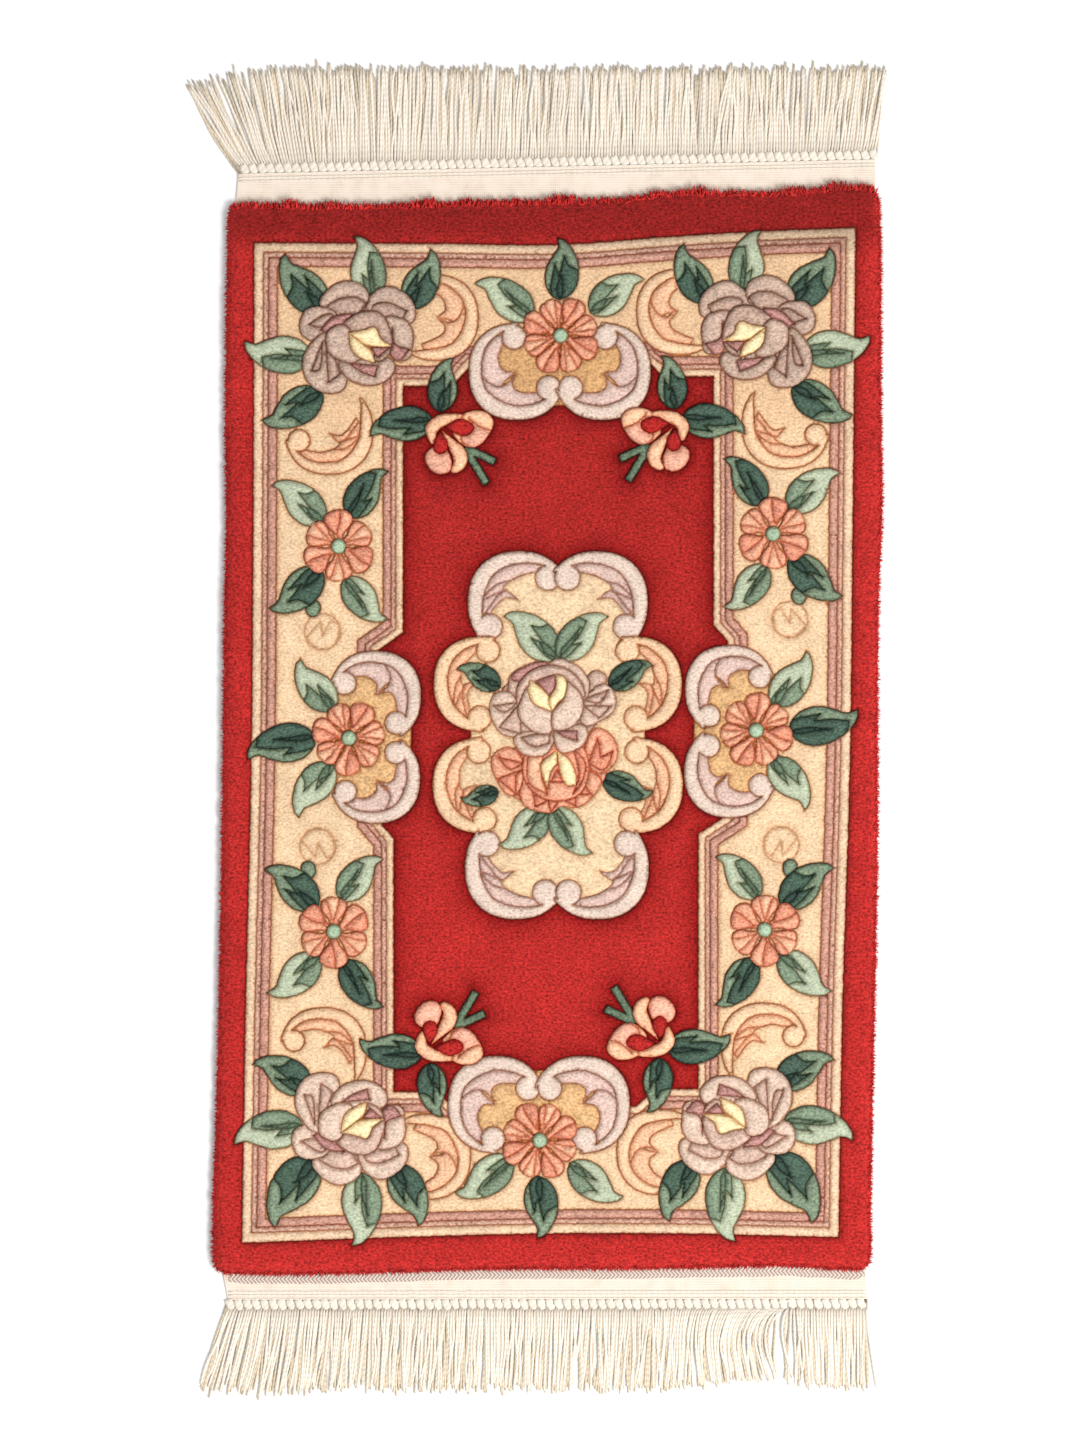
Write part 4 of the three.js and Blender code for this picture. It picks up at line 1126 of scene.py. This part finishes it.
def fringePiece(end):
    web, rows = webs[end], cordLie[end]
    out = web["out"]
    pitch = (web["right"] - web["left"]) / fringe["knots"]
    lieX, lieTip, lieLean, lieBow = zip(*rows)
    pale, deep = np.array(linear(cottonTones["pale"])), np.array(linear(cottonTones["deep"]))
    radius = fringe["thick"] / 2
    verts, faces, maps, tones = [], [], [], []

    def edgeAt(x):
        return np.interp(x, (web["left"], web["right"]), (web["leftEdge"], web["rightEdge"]))

    def addTube(path, wide, high, sides, tone):  # one tone for all, or one for each station
        base = sum(map(len, tones))
        points, rings, uv = tube(path, wide, high, sides)
        verts.append(points)
        faces.extend(tuple(base + n for n in ring) for ring in rings)
        maps.extend(uv)
        stations = np.broadcast_to(tone, (len(path), 3))
        tones.append(np.column_stack([np.repeat(stations, sides, axis=0), np.ones(len(points))]))

    for i in range(fringe["knots"]):
        x = web["left"] + (i + 0.5) * pitch
        edge = edgeAt(x)
        tieY = edge + out * (knot["tie"] + rng.uniform(-knot["tieStray"], knot["tieStray"]))
        share = np.linspace(0, 1, len(knotWidths))
        path = np.stack([
            x + knot["slant"] * out * (1 - share),
            edge + out * knot["root"] + (tieY - edge) * share,
            knot["middle"] + knot["arch"] * np.sin(share * math.pi),
        ], axis=1)
        addTube(path, knot["wide"] / 2 * knotWidths, knot["thick"] / 2 * knotHeights, knot["sides"],
                pale * rng.uniform(*knot["tone"]))
        for k in range(fringe["cords"]):
            under = k >= fringe["upper"]
            place = k - cord["middle"]
            if under:
                place = cord["underPitch"] * (k - cord["underMiddle"])
                place += rng.uniform(-cord["underStray"], cord["underStray"])
            rootX = x + place * fringe["spread"]
            rootY = edge if under else tieY - out * cord["tuck"]
            tip = np.interp(rootX, lieX, lieTip) + rng.normal(0, cord["tip"])
            bow = np.interp(rootX, lieX, lieBow)
            lean = np.interp(rootX + rng.uniform(-cord["leanFrom"], cord["leanFrom"]), lieX, lieLean)
            far = rng.random() < cord["farShare"]
            reach = lean + rng.normal(0, cord["farStray" if far else "stray"])
            s = np.linspace(0, 1, fringe["steps"])
            wave = rng.normal(0, cord["wave"])
            wave = wave * np.sin(s * math.pi * rng.uniform(*cord["waves"]) + rng.uniform(0, cord["phase"]))
            wave = wave * np.minimum(1, 3 * s)
            lift = 0 if under else rng.uniform(*cord["lift"])
            lifted = lift * np.sin(math.pi * np.minimum(1, s * cord["liftOver"])) ** cord["liftPower"]
            over = 0 if under else cord["over"]
            bowed = bow * cord["bow"] * np.sin(math.pi * s ** cord["bowPower"])
            path = np.stack([
                rootX + reach * s ** cord["leanPower"] + bowed + wave,
                rootY + (tip - rootY) * s,
                radius + over * (1 - s) + lifted,
            ], axis=1)
            thick = radius * np.concatenate([cordStart, np.ones(fringe["steps"] - 4), cordTip])
            tone = deep * rng.uniform(*cord["underTone"]) if under else pale * rng.uniform(*cord["upperTone"])
            dark, gain = cord["underShade" if under else "upperShade"]
            shade = np.clip(dark + gain * s, 0, 1)  # the knots keep the light off
            addTube(path, thick, thick, fringe["sides"] - 2 * under, shade[:, None] * tone)
    xs = np.linspace(web["left"] + twined["inside"], web["right"] - twined["inside"], twined["steps"])
    thick = np.full(len(xs), twined["thick"])
    for line in twined["lines"]:  # twined rows that close the web before the knots
        ys = edgeAt(xs) + out * line + rng.normal(0, twined["stray"], len(xs))
        path = np.stack([xs, ys, np.full(len(xs), cloth["thick"] + twined["above"])], axis=1)
        addTube(path, thick, thick, twined["sides"], pale * twined["tone"])
    mesh = bpy.data.meshes.new("fringe_cords_" + end)
    mesh.from_pydata((np.vstack(verts) * mm).tolist(), [], faces)
    mesh.uv_layers.new(name="twist").data.foreach_set("uv", np.array(maps, np.float32).ravel())
    setColours(mesh, "tone", "POINT", np.vstack(tones))
    mesh.polygons.foreach_set("use_smooth", np.ones(len(mesh.polygons), bool))
    mesh.update()
    return addPiece("fringe_cords_" + end, mesh, cotton, "fringe_" + end)


fringePieces = [fringePiece(end) for end in webs]
print("fringes made")

# Camera straight above, a long lens so that the rug stays flat and square
photo = {"middle": (-11.6, 17.9), "high": 1516.9, "distance": 6000, "sensor": 36}
camera = bpy.data.cameras.new("camera")
camera.sensor_fit = "VERTICAL"
camera.sensor_height = photo["sensor"]
camera.lens = photo["sensor"] * (photo["distance"] - heights["ground"]) / photo["high"]
cameraObject = bpy.data.objects.new("camera", camera)
cameraObject.location = (photo["middle"][0] * mm, photo["middle"][1] * mm, photo["distance"] * mm)
bpy.context.scene.collection.objects.link(cameraObject)
bpy.context.scene.camera = cameraObject

studio = {"floor": 8, "below": 0.0003, "floorTone": 0.93, "world": 0.68}
softBox = {"size": 2.4, "energy": 335, "place": (2.9, -2.7, 4.4)}
floorMesh = bpy.data.meshes.new("studio_floor")
bm = bmesh.new()
bmesh.ops.create_grid(bm, x_segments=1, y_segments=1, size=studio["floor"])
bm.to_mesh(floorMesh)
bm.free()
floor = bpy.data.objects.new("studio_floor", floorMesh)
floor.location.z = -studio["below"]
bpy.context.scene.collection.objects.link(floor)
# Matt white paint, rolled on: a plain pale floor
paint, tree = newMaterial("matt_white_studio_floor")
floorColour = (*[studio["floorTone"]] * 3, 1)
shader = addNode(tree, "ShaderNodeBsdfPrincipled", {"Base Color": floorColour, "Roughness": 0.9})
addNode(tree, "ShaderNodeOutputMaterial", {}, {"Surface": shader.outputs[0]})
floorMesh.materials.append(paint)

world = bpy.data.worlds.new("studio")
bpy.context.scene.world = world
world.use_nodes = True
backdrop = world.node_tree.nodes["Background"]
backdrop.inputs["Color"].default_value = (1, 1, 1, 1)
backdrop.inputs["Strength"].default_value = studio["world"]
keyLight = bpy.data.lights.new("soft_box", "AREA")
keyLight.shape = "RECTANGLE"
keyLight.size = softBox["size"]
keyLight.size_y = softBox["size"]
keyLight.energy = softBox["energy"]
keyObject = bpy.data.objects.new("soft_box", keyLight)
keyObject.location = softBox["place"]
keyObject.rotation_euler = (-keyObject.location).to_track_quat("-Z", "Y").to_euler()
bpy.context.scene.collection.objects.link(keyObject)
bpy.context.scene.view_settings.view_transform = "Standard"
